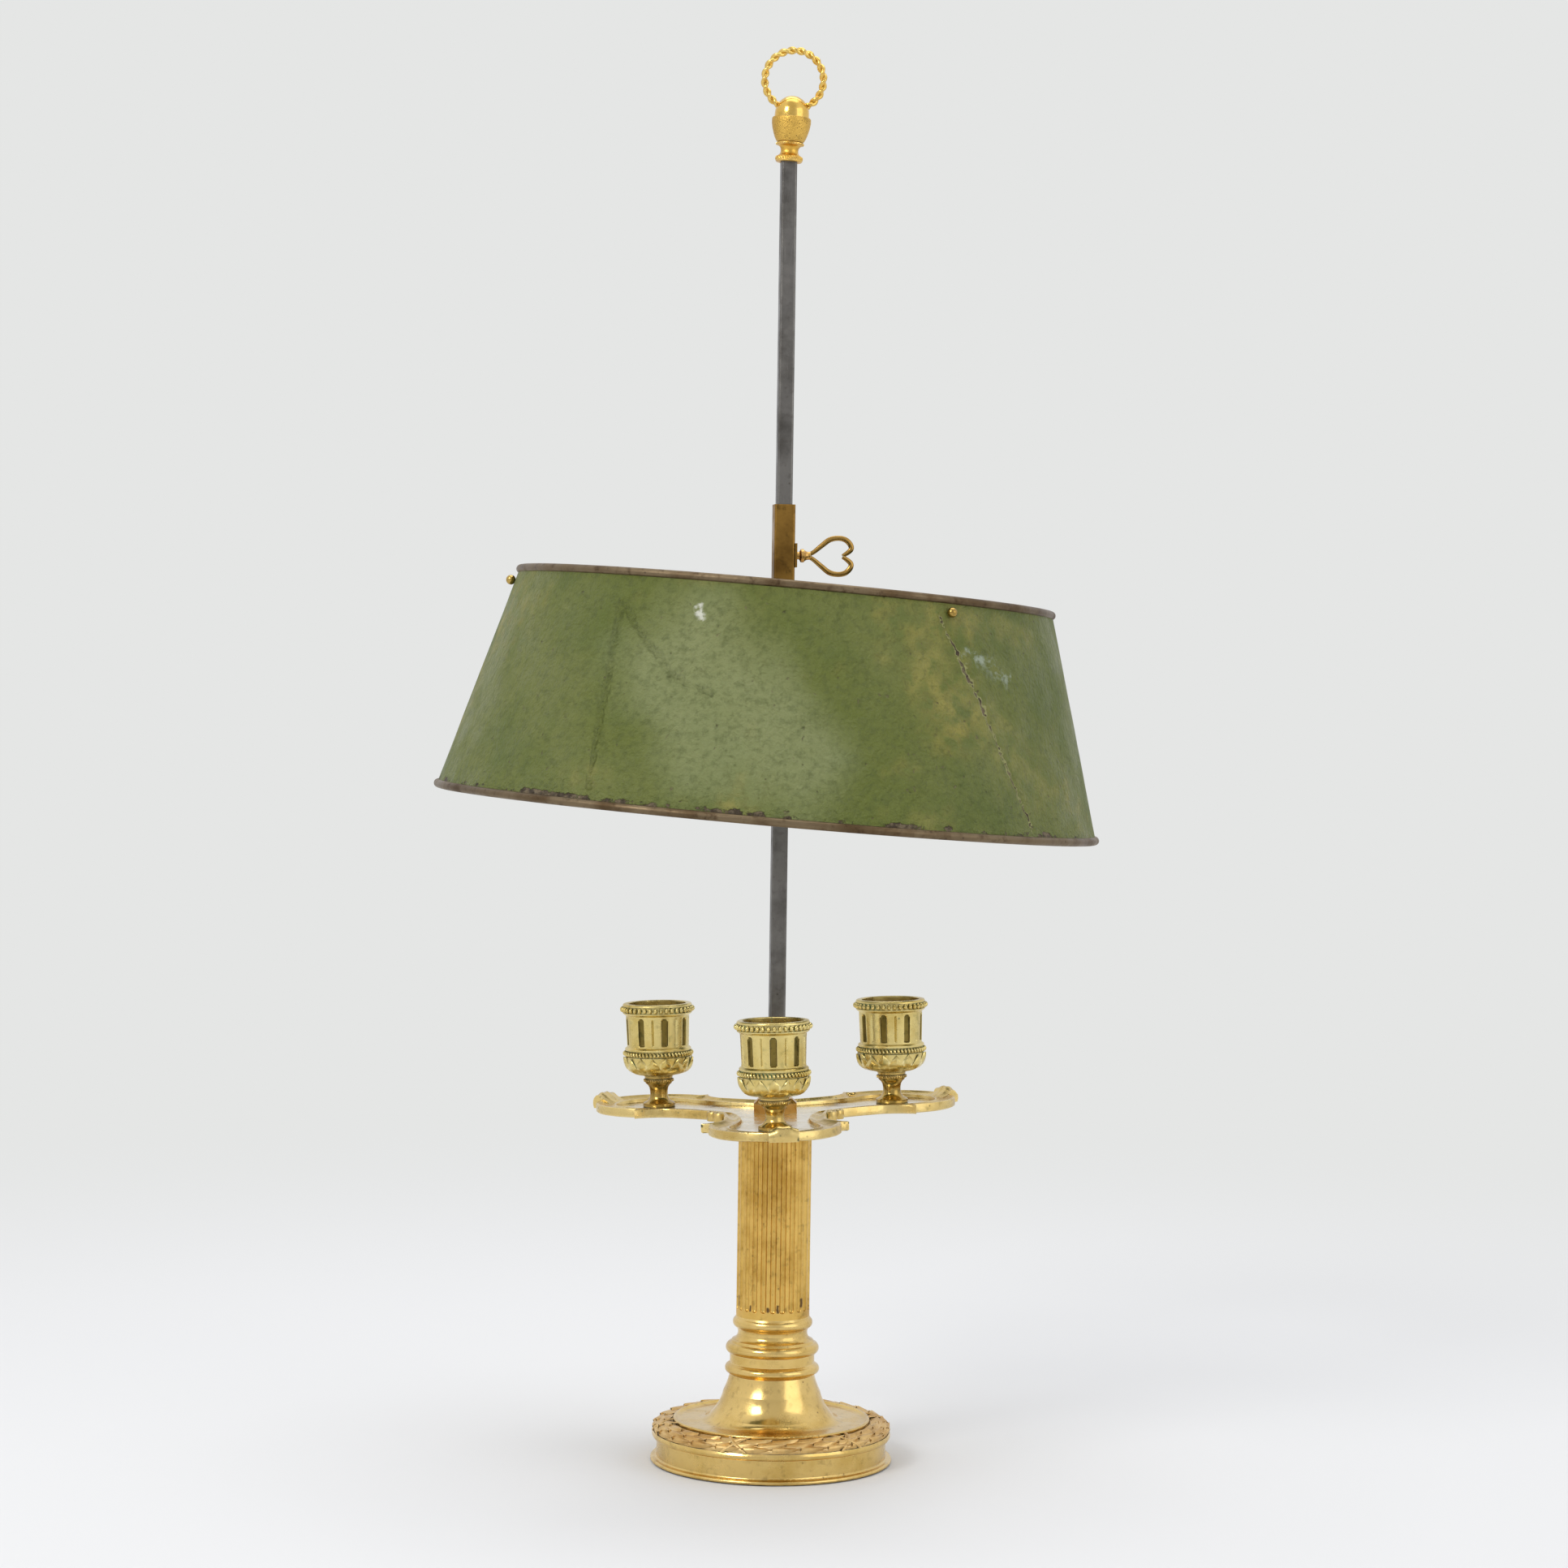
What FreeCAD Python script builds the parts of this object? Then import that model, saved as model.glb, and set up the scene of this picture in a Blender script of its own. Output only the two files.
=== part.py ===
import FreeCAD, Part
import math
import os

os.makedirs("parts", exist_ok=True)

V = FreeCAD.Vector
UP = V(0, 0, 1)
ORIGIN = V(0, 0, 0)

# Fits and seats
running_fit = 0.05        # radial clearance of pins, threads and tenons
slide_fit = 0.25          # clearance of the sleeve on each side of the rod
seat_gap = 0.05           # gap under pieces that sit on a curved or sloping face
hole_clearance = 0.3      # free hole round the rod

# Base drum, standing on its foot ring
ring_radius = 56.0
ring_lift = 0.15
ring_height = 1.9
drum_radius = 53.2
drum_wall = 3.2
drum_height = 11.1
cornice_radius = 55.3
cornice_height = 2.8
shelf_opening = 38.0
felt_radius = 53.4
felt_thickness = 0.75

# Laurel band on the drum's shoulder
band_outer = 54.6
band_inner = 46.0
band_height = 5.6
band_swell = 52.4
band_swell_height = 3.9

# Foot: sunk dish that sweeps up into a cone
dish_radius = 45.6
dish_height = 6.1
dish_lip = 1.2
dish_sink = 1.1
dish_floor_radius = 34.0
cone_low_radius = 28.4
cone_low_height = 7.9
cone_mid_radius = 22.5
cone_mid_height = 18.3
cone_top_radius = 19.6
cone_top_height = 26.4
cone_wall = 2.4

# Socle mouldings: lower ring, drum, torus, neck, upper ring
socle_height = 27.1
socle_bore = 8.0
low_ring_radius = 21.9
low_ring_base = 0.6
low_ring_top = 4.6
socle_drum_radius = 19.6
socle_drum_base = 5.5
torus_radius = 21.6
torus_base = 9.7
torus_top = 14.9
torus_step_radius = 19.6
torus_step_top = 16.0
neck_radius = 16.1
neck_mid = 19.1
high_ring_base_radius = 16.9
high_ring_base = 21.8
high_ring_radius = 18.5
high_ring_top_radius = 17.5
high_ring_top = 26.2

# Fluted column
column_radius = 17.0
column_length = 92.4
column_bore = 12.0
flute_count = 24
flute_width = 2.9
flute_depth = 1.1
flute_start = 3.2

# Tray of three lobes, leaning a little to the left on the column
tray_lean = 1.8
tray_floor = 1.8
border_height = 3.2
lip_height = 4.3
lip_width = 1.6
cup_reach = 63.5
lobe_radius = 29.7
inner_lobe_radius = 21.2
throat_radius = 28.2
inner_throat_radius = 23.6
waist_reach = 38.0
waist_half = 23.6
inner_waist_half = 16.5
shoulder_reach = 49.5
shoulder_half = 25.6
horn_reach = 56.3
horn_half = 33.2
horn_inner_reach = 58.4
volute_radius = 3.1
volute_reach = 31.2
volute_angle = 5.9
clasp_half = 6.6
clasp_inner = 22.0
clasp_outer = 33.4
clasp_height = 7.4
clasp_crest = 30.2

# Cup stems and candle cups
stem_foot_radius = 7.4
stem_foot_height = 2.4
stem_waist_radius = 4.35
stem_waist_height = 6.4
stem_ring_radius = 7.3
stem_ring_height = 12.6
stem_collar_radius = 6.6
stem_height = 14.8
stem_thread_radius = 2.0
stem_thread_reach = 3.6
cup_tenon_radius = 2.6
cup_tenon_length = 4.0
nut_across = 7.0
nut_height = 2.8
cup_height = 34.3
cup_bore_radius = 13.6
cup_floor = 9.6
cup_collar_radius = 7.4
bowl_radius = 15.8
bowl_height = 5.6
rope_radius = 16.8
rope_height = 10.9
cup_step_radius = 15.6
cup_step_top = 13.1
cup_body_radius = 14.5
cup_body_base = 14.2
cup_body_top_radius = 14.95
cup_body_top = 28.6
cup_rim_radius = 17.9
cup_rim_height = 31.6
cup_lip_radius = 15.6

# Square rod, turned a little about its own length, with its collar and nut
rod_size = 7.2
rod_corner = 1.1
rod_turn = 8.0
rod_top = 600.0
rod_square_base = 20.0
rod_thread_radius = 3.0
rod_end = 2.6
rod_tenon_radius = 2.0
rod_tenon_length = 17.0
collar_across = 19.8
collar_height = 6.8
collar_chamfer = 2.2
plate_radius = 46.0
plate_thickness = 3.0
washer_radius = 9.0
washer_thickness = 1.2
base_nut_across = 11.0
base_nut_height = 3.8

# Finial, leaning to the right on the rod
finial_lean = 3.0
foot_radius = 6.5
foot_height = 4.0
foot_neck_radius = 4.15
foot_neck_height = 6.0
foot_ring_radius = 6.4
foot_ring_height = 9.9
foot_length = 11.0
acorn_radius = 8.8
acorn_base_radius = 4.6
acorn_height = 6.4
acorn_top_radius = 8.3
acorn_length = 10.0
dome_radius = 8.0
dome_skirt = 2.6
dome_length = 9.6
dome_stud_length = 1.6
rope_mean_radius = 13.5
rope_thickness = 3.6
strand_radius = 0.88
rope_centre = 37.7
rope_half_open = 28.0
dome_core_half = 5.0
rope_crossings = 12
rope_points = 96

# Sleeve and clamp
sleeve_wall = 1.0
sleeve_below_clamp = 44.5
sleeve_above_clamp = 23.3
clamp_height = 419.5
boss_height = 11.0
boss_proud = 1.0
boss_spigot_width = 5.4
boss_spigot_height = 7.0
pad_radius = 1.9
pad_thickness = 0.6
pad_travel = 0.4
pad_clearance = 0.03
screw_radius = 1.75
screw_flare = 1.5
screw_collar_radius = 3.1
screw_collar_length = 1.3
screw_end_radius = 1.93
screw_length = 6.6
heart_tip = 4.7
heart_end = 27.3
heart_half_height = 9.55
heart_lobe_radius = 5.2
heart_bar = 2.4
heart_thickness = 2.2

# Shade, leaning to the right and slightly up in front
shade_lean = 4.27
shade_front_up = 0.5
shade_below_clamp = 37.3
shade_top = 20.0
shade_bottom = -81.0
shade_top_radius = 122.75
shade_bottom_radius = 151.8
shade_sheet_thickness = 0.6
bead_radius = 1.85
bead_wall = 0.75
hub_across = 22.0
hub_height = 5.0
arm_width = 9.0
arm_thickness = 1.5
arm_azimuths = {"front": -55.0, "back": 65.0, "left": 185.0}
tab_gap = 0.15
tab_up = 3.0
tab_down = 7.0
shade_screw_drop = 6.0
ball_radius = 2.25
ball_centre = 1.9
shade_screw_radius = 1.0
screw_nut_across = 4.4
screw_nut_height = 1.6
screw_tail = 0.8

# Heights that follow from the stack
shelf_top = drum_height + cornice_height
cone_base = shelf_top
cone_top = cone_base + cone_top_height
socle_top = cone_top + socle_height
tray_base = socle_top + column_length
sleeve_base = clamp_height - sleeve_below_clamp
sleeve_top = clamp_height + sleeve_above_clamp
shade_pivot = clamp_height - shade_below_clamp
pan_top = tray_base + tray_floor
cup_base = pan_top + stem_height
half_rod = rod_size / 2
half_sleeve_inner = half_rod + slide_fit
half_sleeve = half_sleeve_inner + sleeve_wall
boss_face = half_sleeve + boss_proud
shade_angle = math.degrees(
    math.atan2(shade_bottom_radius - shade_top_radius, shade_top - shade_bottom))
lobe_angles = {"front": -90.0, "right": 30.0, "left": 150.0}


# Helpers
def save(shape, name):
    shape.exportStep("parts/" + name + ".step")


def cylinder(radius, height, base=0.0, x=0.0, y=0.0):
    return Part.makeCylinder(radius, height, V(x, y, base))


def turned(edges):
    """Solid turned about Z from connected edges in the XZ plane."""
    face = Part.Face(Part.Wire(edges))
    return face.revolve(ORIGIN, UP, 360)


def path(points):
    """Closed run of edges: a pair is a corner, a pair of pairs an arc's middle and end."""
    edges = []
    here = V(points[0][0], 0, points[0][1])
    start = here
    for item in points[1:]:
        if isinstance(item[0], tuple):
            middle = V(item[0][0], 0, item[0][1])
            end = V(item[1][0], 0, item[1][1])
            edges.append(Part.Arc(here, middle, end).toShape())
        else:
            end = V(item[0], 0, item[1])
            edges.append(Part.makeLine(here, end))
        here = end
    if here.distanceToPoint(start) > 1e-6:
        edges.append(Part.makeLine(here, start))
    return edges


def lifted(shape, height):
    moved = shape.copy()
    moved.translate(V(0, 0, height))
    return moved


def spun(shape, angle):
    moved = shape.copy()
    moved.rotate(ORIGIN, UP, angle)
    return moved


def leaned(shape, angle, height):
    """Lean to the right by an angle about a point of the axis."""
    moved = shape.copy()
    moved.rotate(V(0, 0, height), V(0, 1, 0), angle)
    return moved


def prism(sides, across, height, base=0.0, turn=0.0):
    """Regular prism with a flat facing the turn angle."""
    radius = across / 2 / math.cos(math.pi / sides)
    corners = []
    for i in range(sides + 1):
        a = math.radians(turn) + (2 * i + 1) * math.pi / sides
        corners.append(V(radius * math.cos(a), radius * math.sin(a), base))
    return Part.Face(Part.makePolygon(corners)).extrude(V(0, 0, height))


def square_bar(size, height, base, corner=0.0):
    """Square bar on the axis, turned as the rod is."""
    bar = Part.makeBox(size, size, height, V(-size / 2, -size / 2, base))
    if corner:
        upright = [e for e in bar.Edges if abs(e.tangentAt(e.FirstParameter).z) > 0.9]
        bar = bar.makeFillet(corner, upright)
    return spun(bar, rod_turn)


def screw_side(shape):
    """Carry a shape built along +X from the rod's axis to the clamp."""
    moved = spun(shape, rod_turn)
    moved.translate(V(0, 0, clamp_height))
    return moved


def rod_along_x(radius, start, end):
    return Part.makeCylinder(radius, end - start, V(start, 0, 0), V(1, 0, 0))


# Base
def make_base():
    felt = cylinder(felt_radius, felt_thickness)
    inner = drum_radius - drum_wall
    recess = felt_radius + running_fit
    drum = turned(path([
        (recess, ring_lift),
        (ring_radius - 0.5, ring_lift),
        ((ring_radius, ring_lift + 0.6), (ring_radius - 0.7, ring_height)),
        (drum_radius + 0.8, ring_height),
        ((drum_radius + 0.25, ring_height + 0.3), (drum_radius, ring_height + 1.0)),
        (drum_radius, drum_height - 0.5),
        ((drum_radius + 0.4, drum_height - 0.1), (cornice_radius - 0.5, drum_height)),
        ((cornice_radius, drum_height + 0.8), (cornice_radius, drum_height + 1.9)),
        (cornice_radius - 0.4, shelf_top),
        (shelf_opening, shelf_top),
        (shelf_opening, drum_height),
        (inner, drum_height),
        (inner, felt_thickness),
        (recess, felt_thickness),
    ]))
    band = turned(path([
        (band_inner, shelf_top),
        (band_outer, shelf_top),
        ((band_swell, shelf_top + band_swell_height), (band_inner + 0.6, shelf_top + band_height)),
        (band_inner, shelf_top + band_height),
    ]))
    plate = cylinder(plate_radius, plate_thickness, drum_height - plate_thickness)
    plate = plate.cut(cylinder(rod_thread_radius + hole_clearance, drum_height))
    washer_base = drum_height - plate_thickness - washer_thickness
    bore = cylinder(rod_thread_radius + running_fit, drum_height)
    washer = cylinder(washer_radius, washer_thickness, washer_base).cut(bore)
    nut = prism(6, base_nut_across, base_nut_height, washer_base - base_nut_height).cut(bore)
    save(felt, "base_felt")
    save(drum, "base_drum")
    save(band, "laurel_band")
    save(plate, "clamp_plate")
    save(washer, "base_washer")
    save(nut, "base_nut")


def make_foot_cone():
    rim = cone_base + dish_height
    floor = rim - dish_sink
    wall = cone_wall
    cone = turned(path([
        (dish_radius - wall, cone_base),
        (dish_radius, cone_base),
        (dish_radius, rim - 0.5),
        ((dish_radius - 0.3, rim - 0.1), (dish_radius - dish_lip, rim)),
        ((dish_radius - 2.0, rim - 0.7), (dish_radius - 3.6, floor)),
        (dish_floor_radius, floor),
        ((cone_low_radius + 2.0, floor + 0.9), (cone_low_radius, cone_base + cone_low_height)),
        ((cone_mid_radius + 1.9, cone_base + (cone_low_height + cone_mid_height) / 2),
         (cone_mid_radius, cone_base + cone_mid_height)),
        ((cone_top_radius + 1.2, cone_base + (cone_mid_height + cone_top_height) / 2),
         (cone_top_radius, cone_top)),
        (cone_top_radius - wall, cone_top),
        (cone_mid_radius - wall - 0.5, cone_base + cone_mid_height - 2.0),
        (cone_low_radius - wall, cone_base + cone_low_height - wall),
        (cone_low_radius, floor - wall),
        (dish_radius - wall, floor - wall),
    ]))
    save(cone, "foot_cone")


def make_socle():
    base = cone_top
    socle = turned(path([
        (socle_bore, base),
        (cone_top_radius, base),
        (cone_top_radius + 0.6, base + low_ring_base),
        ((low_ring_radius, base + (low_ring_base + low_ring_top) / 2),
         (low_ring_radius - 1.2, base + low_ring_top)),
        (socle_drum_radius, base + socle_drum_base),
        (socle_drum_radius, base + torus_base),
        ((torus_radius, base + (torus_base + torus_top) / 2),
         (torus_step_radius, base + torus_top)),
        (torus_step_radius - 0.8, base + torus_step_top),
        ((neck_radius, base + neck_mid), (high_ring_base_radius, base + high_ring_base)),
        ((high_ring_radius, base + (high_ring_base + high_ring_top) / 2),
         (high_ring_top_radius, base + high_ring_top)),
        (column_radius, socle_top),
        (socle_bore, socle_top),
    ]))
    save(socle, "column_socle")


def make_column():
    column = cylinder(column_radius, column_length + 1.0, socle_top)
    column = column.cut(cylinder(column_bore, column_length + 1.0, socle_top))
    # each flute is a round-bottomed groove with a rounded lower end
    groove_radius = ((flute_width / 2) ** 2 + flute_depth ** 2) / (2 * flute_depth)
    reach = column_radius - flute_depth + groove_radius
    low = socle_top + flute_start + groove_radius
    groove = cylinder(groove_radius, column_length, low, reach)
    groove = groove.fuse(Part.makeSphere(groove_radius, V(reach, 0, low)))
    flutes = [spun(groove, i * 360.0 / flute_count) for i in range(flute_count)]
    column = column.cut(Part.makeCompound(flutes))
    above = Part.makeBox(80, 80, 20, V(-40, -40, tray_base))
    save(column.cut(leaned(above, -tray_lean, tray_base)), "column_shaft")


# Tray
def lobe_point(reach, half, angle):
    """Point of one lobe: reach along the lobe's own direction, half to its left."""
    a = math.radians(angle)
    return V(reach * math.cos(a) - half * math.sin(a), reach * math.sin(a) + half * math.cos(a), 0)


def throat_point(radius, angle):
    return lobe_point(radius * math.cos(math.radians(60)), radius * math.sin(math.radians(60)), angle)


def outer_outline():
    edges = []
    horn_inner_half = math.sqrt(lobe_radius ** 2 - (cup_reach - horn_inner_reach) ** 2)
    for angle in lobe_angles.values():
        halves = []
        for side in (-1, 1):
            throat = lobe_point(throat_radius * 0.5, side * throat_radius * math.sin(math.pi / 3), angle)
            waist = lobe_point(waist_reach - 8.0, side * (waist_half - 0.3), angle)
            mid = lobe_point(waist_reach + 6.0, side * waist_half, angle)
            shoulder = lobe_point(shoulder_reach + 1.0, side * (shoulder_half + 1.0), angle)
            horn = lobe_point(horn_reach, side * horn_half, angle)
            inner = lobe_point(horn_inner_reach, side * horn_inner_half, angle)
            run = [Part.Arc(throat, waist, mid).toShape(),
                   Part.Arc(mid, shoulder, horn).toShape(),
                   Part.makeLine(horn, inner)]
            halves.append((run, inner))
        tip = lobe_point(cup_reach + lobe_radius, 0, angle)
        edges += halves[0][0] + halves[1][0]
        edges.append(Part.Arc(halves[0][1], tip, halves[1][1]).toShape())
    return Part.Face(Part.Wire(Part.__sortEdges__(edges)))


def inner_outline():
    edges = []
    join_reach = cup_reach - 4.0
    join_half = math.sqrt(inner_lobe_radius ** 2 - (cup_reach - join_reach) ** 2)
    for angle in lobe_angles.values():
        ends = []
        for side in (-1, 1):
            throat = lobe_point(
                inner_throat_radius * 0.5, side * inner_throat_radius * math.sin(math.pi / 3), angle)
            waist = lobe_point(waist_reach, side * inner_waist_half, angle)
            join = lobe_point(join_reach, side * join_half, angle)
            edges.append(Part.Arc(throat, waist, join).toShape())
            ends.append(join)
        tip = lobe_point(cup_reach + inner_lobe_radius, 0, angle)
        edges.append(Part.Arc(ends[0], tip, ends[1]).toShape())
    return Part.Face(Part.Wire(Part.__sortEdges__(edges)))


def make_clasp(angle):
    """Curled leaf that grips the rim at the tip of a lobe."""
    inner = cup_reach + clasp_inner
    outer = cup_reach + clasp_outer
    crest = cup_reach + clasp_crest
    profile = path([
        (inner, 0),
        (outer, 0),
        (outer, lip_height + 0.6),
        ((outer - 0.7, clasp_height - 0.5), (crest, clasp_height)),
        (inner + 2.4, border_height + 0.8),
        (inner, tray_floor + 0.4),
    ])
    leaf = Part.Face(Part.Wire(profile)).extrude(V(0, 2 * clasp_half, 0))
    leaf.translate(V(0, -clasp_half, 0))
    return spun(leaf, angle)


def make_tray():
    outline = outer_outline()
    inner = inner_outline()
    plate = outline.extrude(V(0, 0, border_height))
    lip = outline.extrude(V(0, 0, lip_height))
    hollow = outline.makeOffset2D(-lip_width).extrude(V(0, 0, lip_height))
    tray = plate.fuse(lip.cut(hollow))
    for angle in lobe_angles.values():
        for side in (-1, 1):
            a = math.radians(angle + side * (60 - volute_angle))
            tray = tray.fuse(cylinder(
                volute_radius, lip_height, 0, volute_reach * math.cos(a), volute_reach * math.sin(a)))
        tray = tray.fuse(make_clasp(angle))
    tray = tray.cut(lifted(inner.extrude(V(0, 0, lip_height + clasp_height)), tray_floor))
    for angle in lobe_angles.values():
        hole = cylinder(stem_thread_radius + running_fit, tray_floor)
        hole.translate(lobe_point(cup_reach, 0, angle))
        tray = tray.cut(hole)
    tray = leaned(lifted(tray, tray_base), -tray_lean, tray_base)
    hole_size = rod_size + 2 * hole_clearance
    tray = tray.cut(square_bar(hole_size, 12, tray_base - 4))
    save(tray.removeSplitter(), "tray")


# Stems and cups
def at_lobe(shape, angle):
    moved = shape.copy()
    moved.translate(lobe_point(cup_reach, 0, angle))
    return leaned(moved, -tray_lean, tray_base)


def make_stem():
    base = pan_top
    body = turned(path([
        (0, base),
        (stem_foot_radius - 0.3, base),
        (stem_foot_radius, base + 0.4),
        (stem_foot_radius, base + stem_foot_height),
        ((stem_waist_radius + 0.9, base + 4.0), (stem_waist_radius, base + stem_waist_height)),
        ((stem_waist_radius + 0.4, base + 9.4), (stem_ring_radius - 0.9, base + 11.4)),
        ((stem_ring_radius, base + stem_ring_height), (stem_collar_radius - 0.2, base + 13.4)),
        (stem_collar_radius, base + 13.6),
        (stem_collar_radius, base + stem_height),
        (0, base + stem_height),
    ]))
    thread = cylinder(stem_thread_radius, tray_floor + stem_thread_reach, tray_base - stem_thread_reach)
    tenon = cylinder(cup_tenon_radius, cup_tenon_length, cup_base)
    return body.fuse(thread).fuse(tenon)


def make_cup():
    base = cup_base
    body = turned(path([
        (0, base),
        (cup_collar_radius, base),
        (cup_collar_radius, base + 0.6),
        ((13.3, base + 1.7), (bowl_radius, base + bowl_height)),
        (bowl_radius - 0.15, base + rope_height - 1.5),
        ((rope_radius, base + rope_height), (cup_step_radius, base + rope_height + 1.3)),
        (cup_step_radius, base + cup_step_top),
        (cup_body_radius, base + cup_body_base),
        (cup_body_top_radius, base + cup_body_top),
        (cup_body_top_radius + 0.9, base + cup_body_top + 1.0),
        ((cup_rim_radius, base + cup_rim_height), (cup_lip_radius + 0.8, base + cup_height - 0.6)),
        (cup_lip_radius, base + cup_height),
        (cup_bore_radius, base + cup_height),
        (cup_bore_radius, base + cup_floor),
        (0, base + cup_floor),
    ]))
    return body.cut(cylinder(cup_tenon_radius + running_fit, cup_tenon_length + seat_gap, base))


def make_cups():
    stem = make_stem()
    cup = make_cup()
    nut = prism(6, nut_across, nut_height, tray_base - nut_height)
    nut = nut.cut(cylinder(stem_thread_radius + running_fit, nut_height, tray_base - nut_height))
    for name, angle in lobe_angles.items():
        save(at_lobe(stem, angle), "cup_stem_" + name)
        save(at_lobe(cup, angle), "candle_cup_" + name)
    nuts = [at_lobe(nut, angle) for angle in lobe_angles.values()]
    save(Part.makeCompound(nuts), "stem_nuts")


# Rod
def make_rod():
    bar = square_bar(rod_size, rod_top - rod_square_base, rod_square_base, rod_corner)
    thread = cylinder(rod_thread_radius, rod_square_base - rod_end, rod_end)
    tenon = cylinder(rod_tenon_radius, rod_tenon_length, rod_top)
    save(bar.fuse(thread).fuse(tenon), "rod")
    collar = prism(8, collar_across, collar_height, pan_top)
    top = [e for e in collar.Edges
           if abs(e.BoundBox.ZMin - pan_top - collar_height) < 0.01 and e.BoundBox.ZLength < 0.01]
    collar = collar.makeChamfer(collar_chamfer, top)
    collar = leaned(collar, -tray_lean, tray_base)
    save(collar.cut(square_bar(rod_size + 2 * running_fit, 20, pan_top - 4)), "rod_collar")


# Finial
def rope_strand(phase):
    """One strand of the twisted ring, standing in the XZ plane."""
    offset = rope_thickness / 2 - strand_radius
    start = math.radians(rope_half_open)
    sweep = 2 * math.pi - 2 * start
    points = []
    for i in range(rope_points + 1):
        t = i / rope_points
        around = start + sweep * t - math.pi / 2
        twist = phase + math.pi * rope_crossings * t
        r = rope_mean_radius + offset * math.cos(twist)
        points.append(V(r * math.cos(around), offset * math.sin(twist), rope_centre + r * math.sin(around)))
    curve = Part.BSplineCurve()
    curve.interpolate(points)
    spine = Part.Wire(curve.toShape())
    section = Part.Wire(Part.makeCircle(strand_radius, points[0], curve.tangent(curve.FirstParameter)[0]))
    return spine.makePipeShell([section], True, True)


def finial_place(shape):
    return leaned(lifted(shape, rod_top), finial_lean, rod_top)


def make_finial():
    below = Part.makeBox(40, 40, 10, V(-20, -20, rod_top - 10))
    bore = cylinder(rod_tenon_radius + running_fit, rod_tenon_length + seat_gap, rod_top)
    foot = turned(path([
        (0, -1.0),
        (foot_radius - 0.8, -1.0),
        (foot_radius - 0.8, 0.3),
        ((foot_radius, foot_height / 2), (foot_radius - 0.8, foot_height)),
        ((foot_neck_radius, foot_neck_height), (foot_ring_radius - 1.0, foot_ring_height - 1.0)),
        ((foot_ring_radius, foot_ring_height), (foot_ring_radius - 0.9, foot_length)),
        (0, foot_length),
    ]))
    top = foot_length + acorn_length
    acorn = turned(path([
        (0, foot_length),
        (acorn_base_radius, foot_length),
        ((acorn_radius - 1.2, foot_length + 3.0), (acorn_radius, foot_length + acorn_height)),
        ((acorn_radius - 0.1, top - 1.6), (acorn_top_radius, top)),
        (0, top),
    ]))
    acorn = acorn.cut(cylinder(rod_tenon_radius + running_fit, dome_stud_length + seat_gap,
                               top - dome_stud_length - seat_gap))
    rise = dome_length - dome_skirt
    cap_radius = (dome_radius ** 2 + rise ** 2) / (2 * rise)
    dome = Part.makeSphere(cap_radius, V(0, 0, top + dome_length - cap_radius))
    dome = dome.common(cylinder(dome_radius, dome_length, top))
    dome = dome.fuse(cylinder(rod_tenon_radius, dome_stud_length, top - dome_stud_length))
    socket = Part.makeTorus(rope_mean_radius, rope_thickness / 2 + running_fit,
                            V(0, 0, rope_centre), V(0, 1, 0))
    core = Part.makeBox(2 * dome_core_half, 2 * dome_radius, dome_length + dome_stud_length,
                        V(-dome_core_half, -dome_radius, top - dome_stud_length))
    dome = dome.cut(socket.cut(core))
    strands = [finial_place(rope_strand(phase)) for phase in (0.0, math.pi)]
    save(finial_place(foot).cut(below).cut(bore), "finial_foot")
    save(finial_place(acorn).cut(bore), "finial_cup")
    save(finial_place(dome), "finial_dome")
    save(Part.makeCompound(strands), "finial_ring")


# Clamp
def make_sleeve():
    height = sleeve_top - sleeve_base
    sleeve = square_bar(2 * half_sleeve, height, sleeve_base, rod_corner)
    sleeve = sleeve.cut(square_bar(2 * half_sleeve_inner, height, sleeve_base))
    gap = 2 * running_fit
    window = Part.makeBox(
        sleeve_wall + 1.0, boss_spigot_width + gap, boss_spigot_height + gap,
        V(half_sleeve_inner - 0.5, -(boss_spigot_width + gap) / 2, -(boss_spigot_height + gap) / 2))
    save(sleeve.cut(screw_side(window)), "sleeve")


def make_boss():
    plate = Part.makeBox(boss_proud, 2 * half_sleeve, boss_height,
                         V(half_sleeve, -half_sleeve, -boss_height / 2))
    spigot = Part.makeBox(
        sleeve_wall, boss_spigot_width, boss_spigot_height,
        V(half_sleeve_inner, -boss_spigot_width / 2, -boss_spigot_height / 2))
    boss = plate.fuse(spigot)
    pad_back = half_rod + pad_clearance + pad_thickness
    boss = boss.cut(rod_along_x(pad_radius + running_fit, half_rod, pad_back + pad_travel + pad_clearance))
    boss = boss.cut(rod_along_x(screw_radius + running_fit, half_rod, boss_face + 1.0))
    save(screw_side(boss), "clamp_boss")


def make_screw():
    pad_face = half_rod + pad_clearance
    pad_back = pad_face + pad_thickness
    save(screw_side(rod_along_x(pad_radius, pad_face, pad_back)), "pressure_pad")
    start = pad_back + pad_clearance
    flare = boss_face + screw_flare
    profile = path([
        (0, start),
        (screw_radius, start),
        (screw_radius, flare),
        (screw_collar_radius, flare + 0.8),
        (screw_collar_radius, flare + 0.8 + screw_collar_length),
        ((screw_end_radius + 0.3, flare + 3.0), (screw_end_radius, boss_face + screw_length)),
        (0, boss_face + screw_length),
    ])
    screw = Part.Face(Part.Wire(profile)).revolve(ORIGIN, UP, 360)
    screw.rotate(ORIGIN, V(0, 1, 0), 90)
    # the shank is slotted for the heart-shaped key, which is brazed in
    slot = heart_solid(heart_bar + running_fit, heart_thickness + 2 * running_fit)
    save(screw_side(screw.cut(slot)), "clamp_screw")
    save(screw_side(heart_solid(heart_bar, heart_thickness)), "heart_key")


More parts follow.
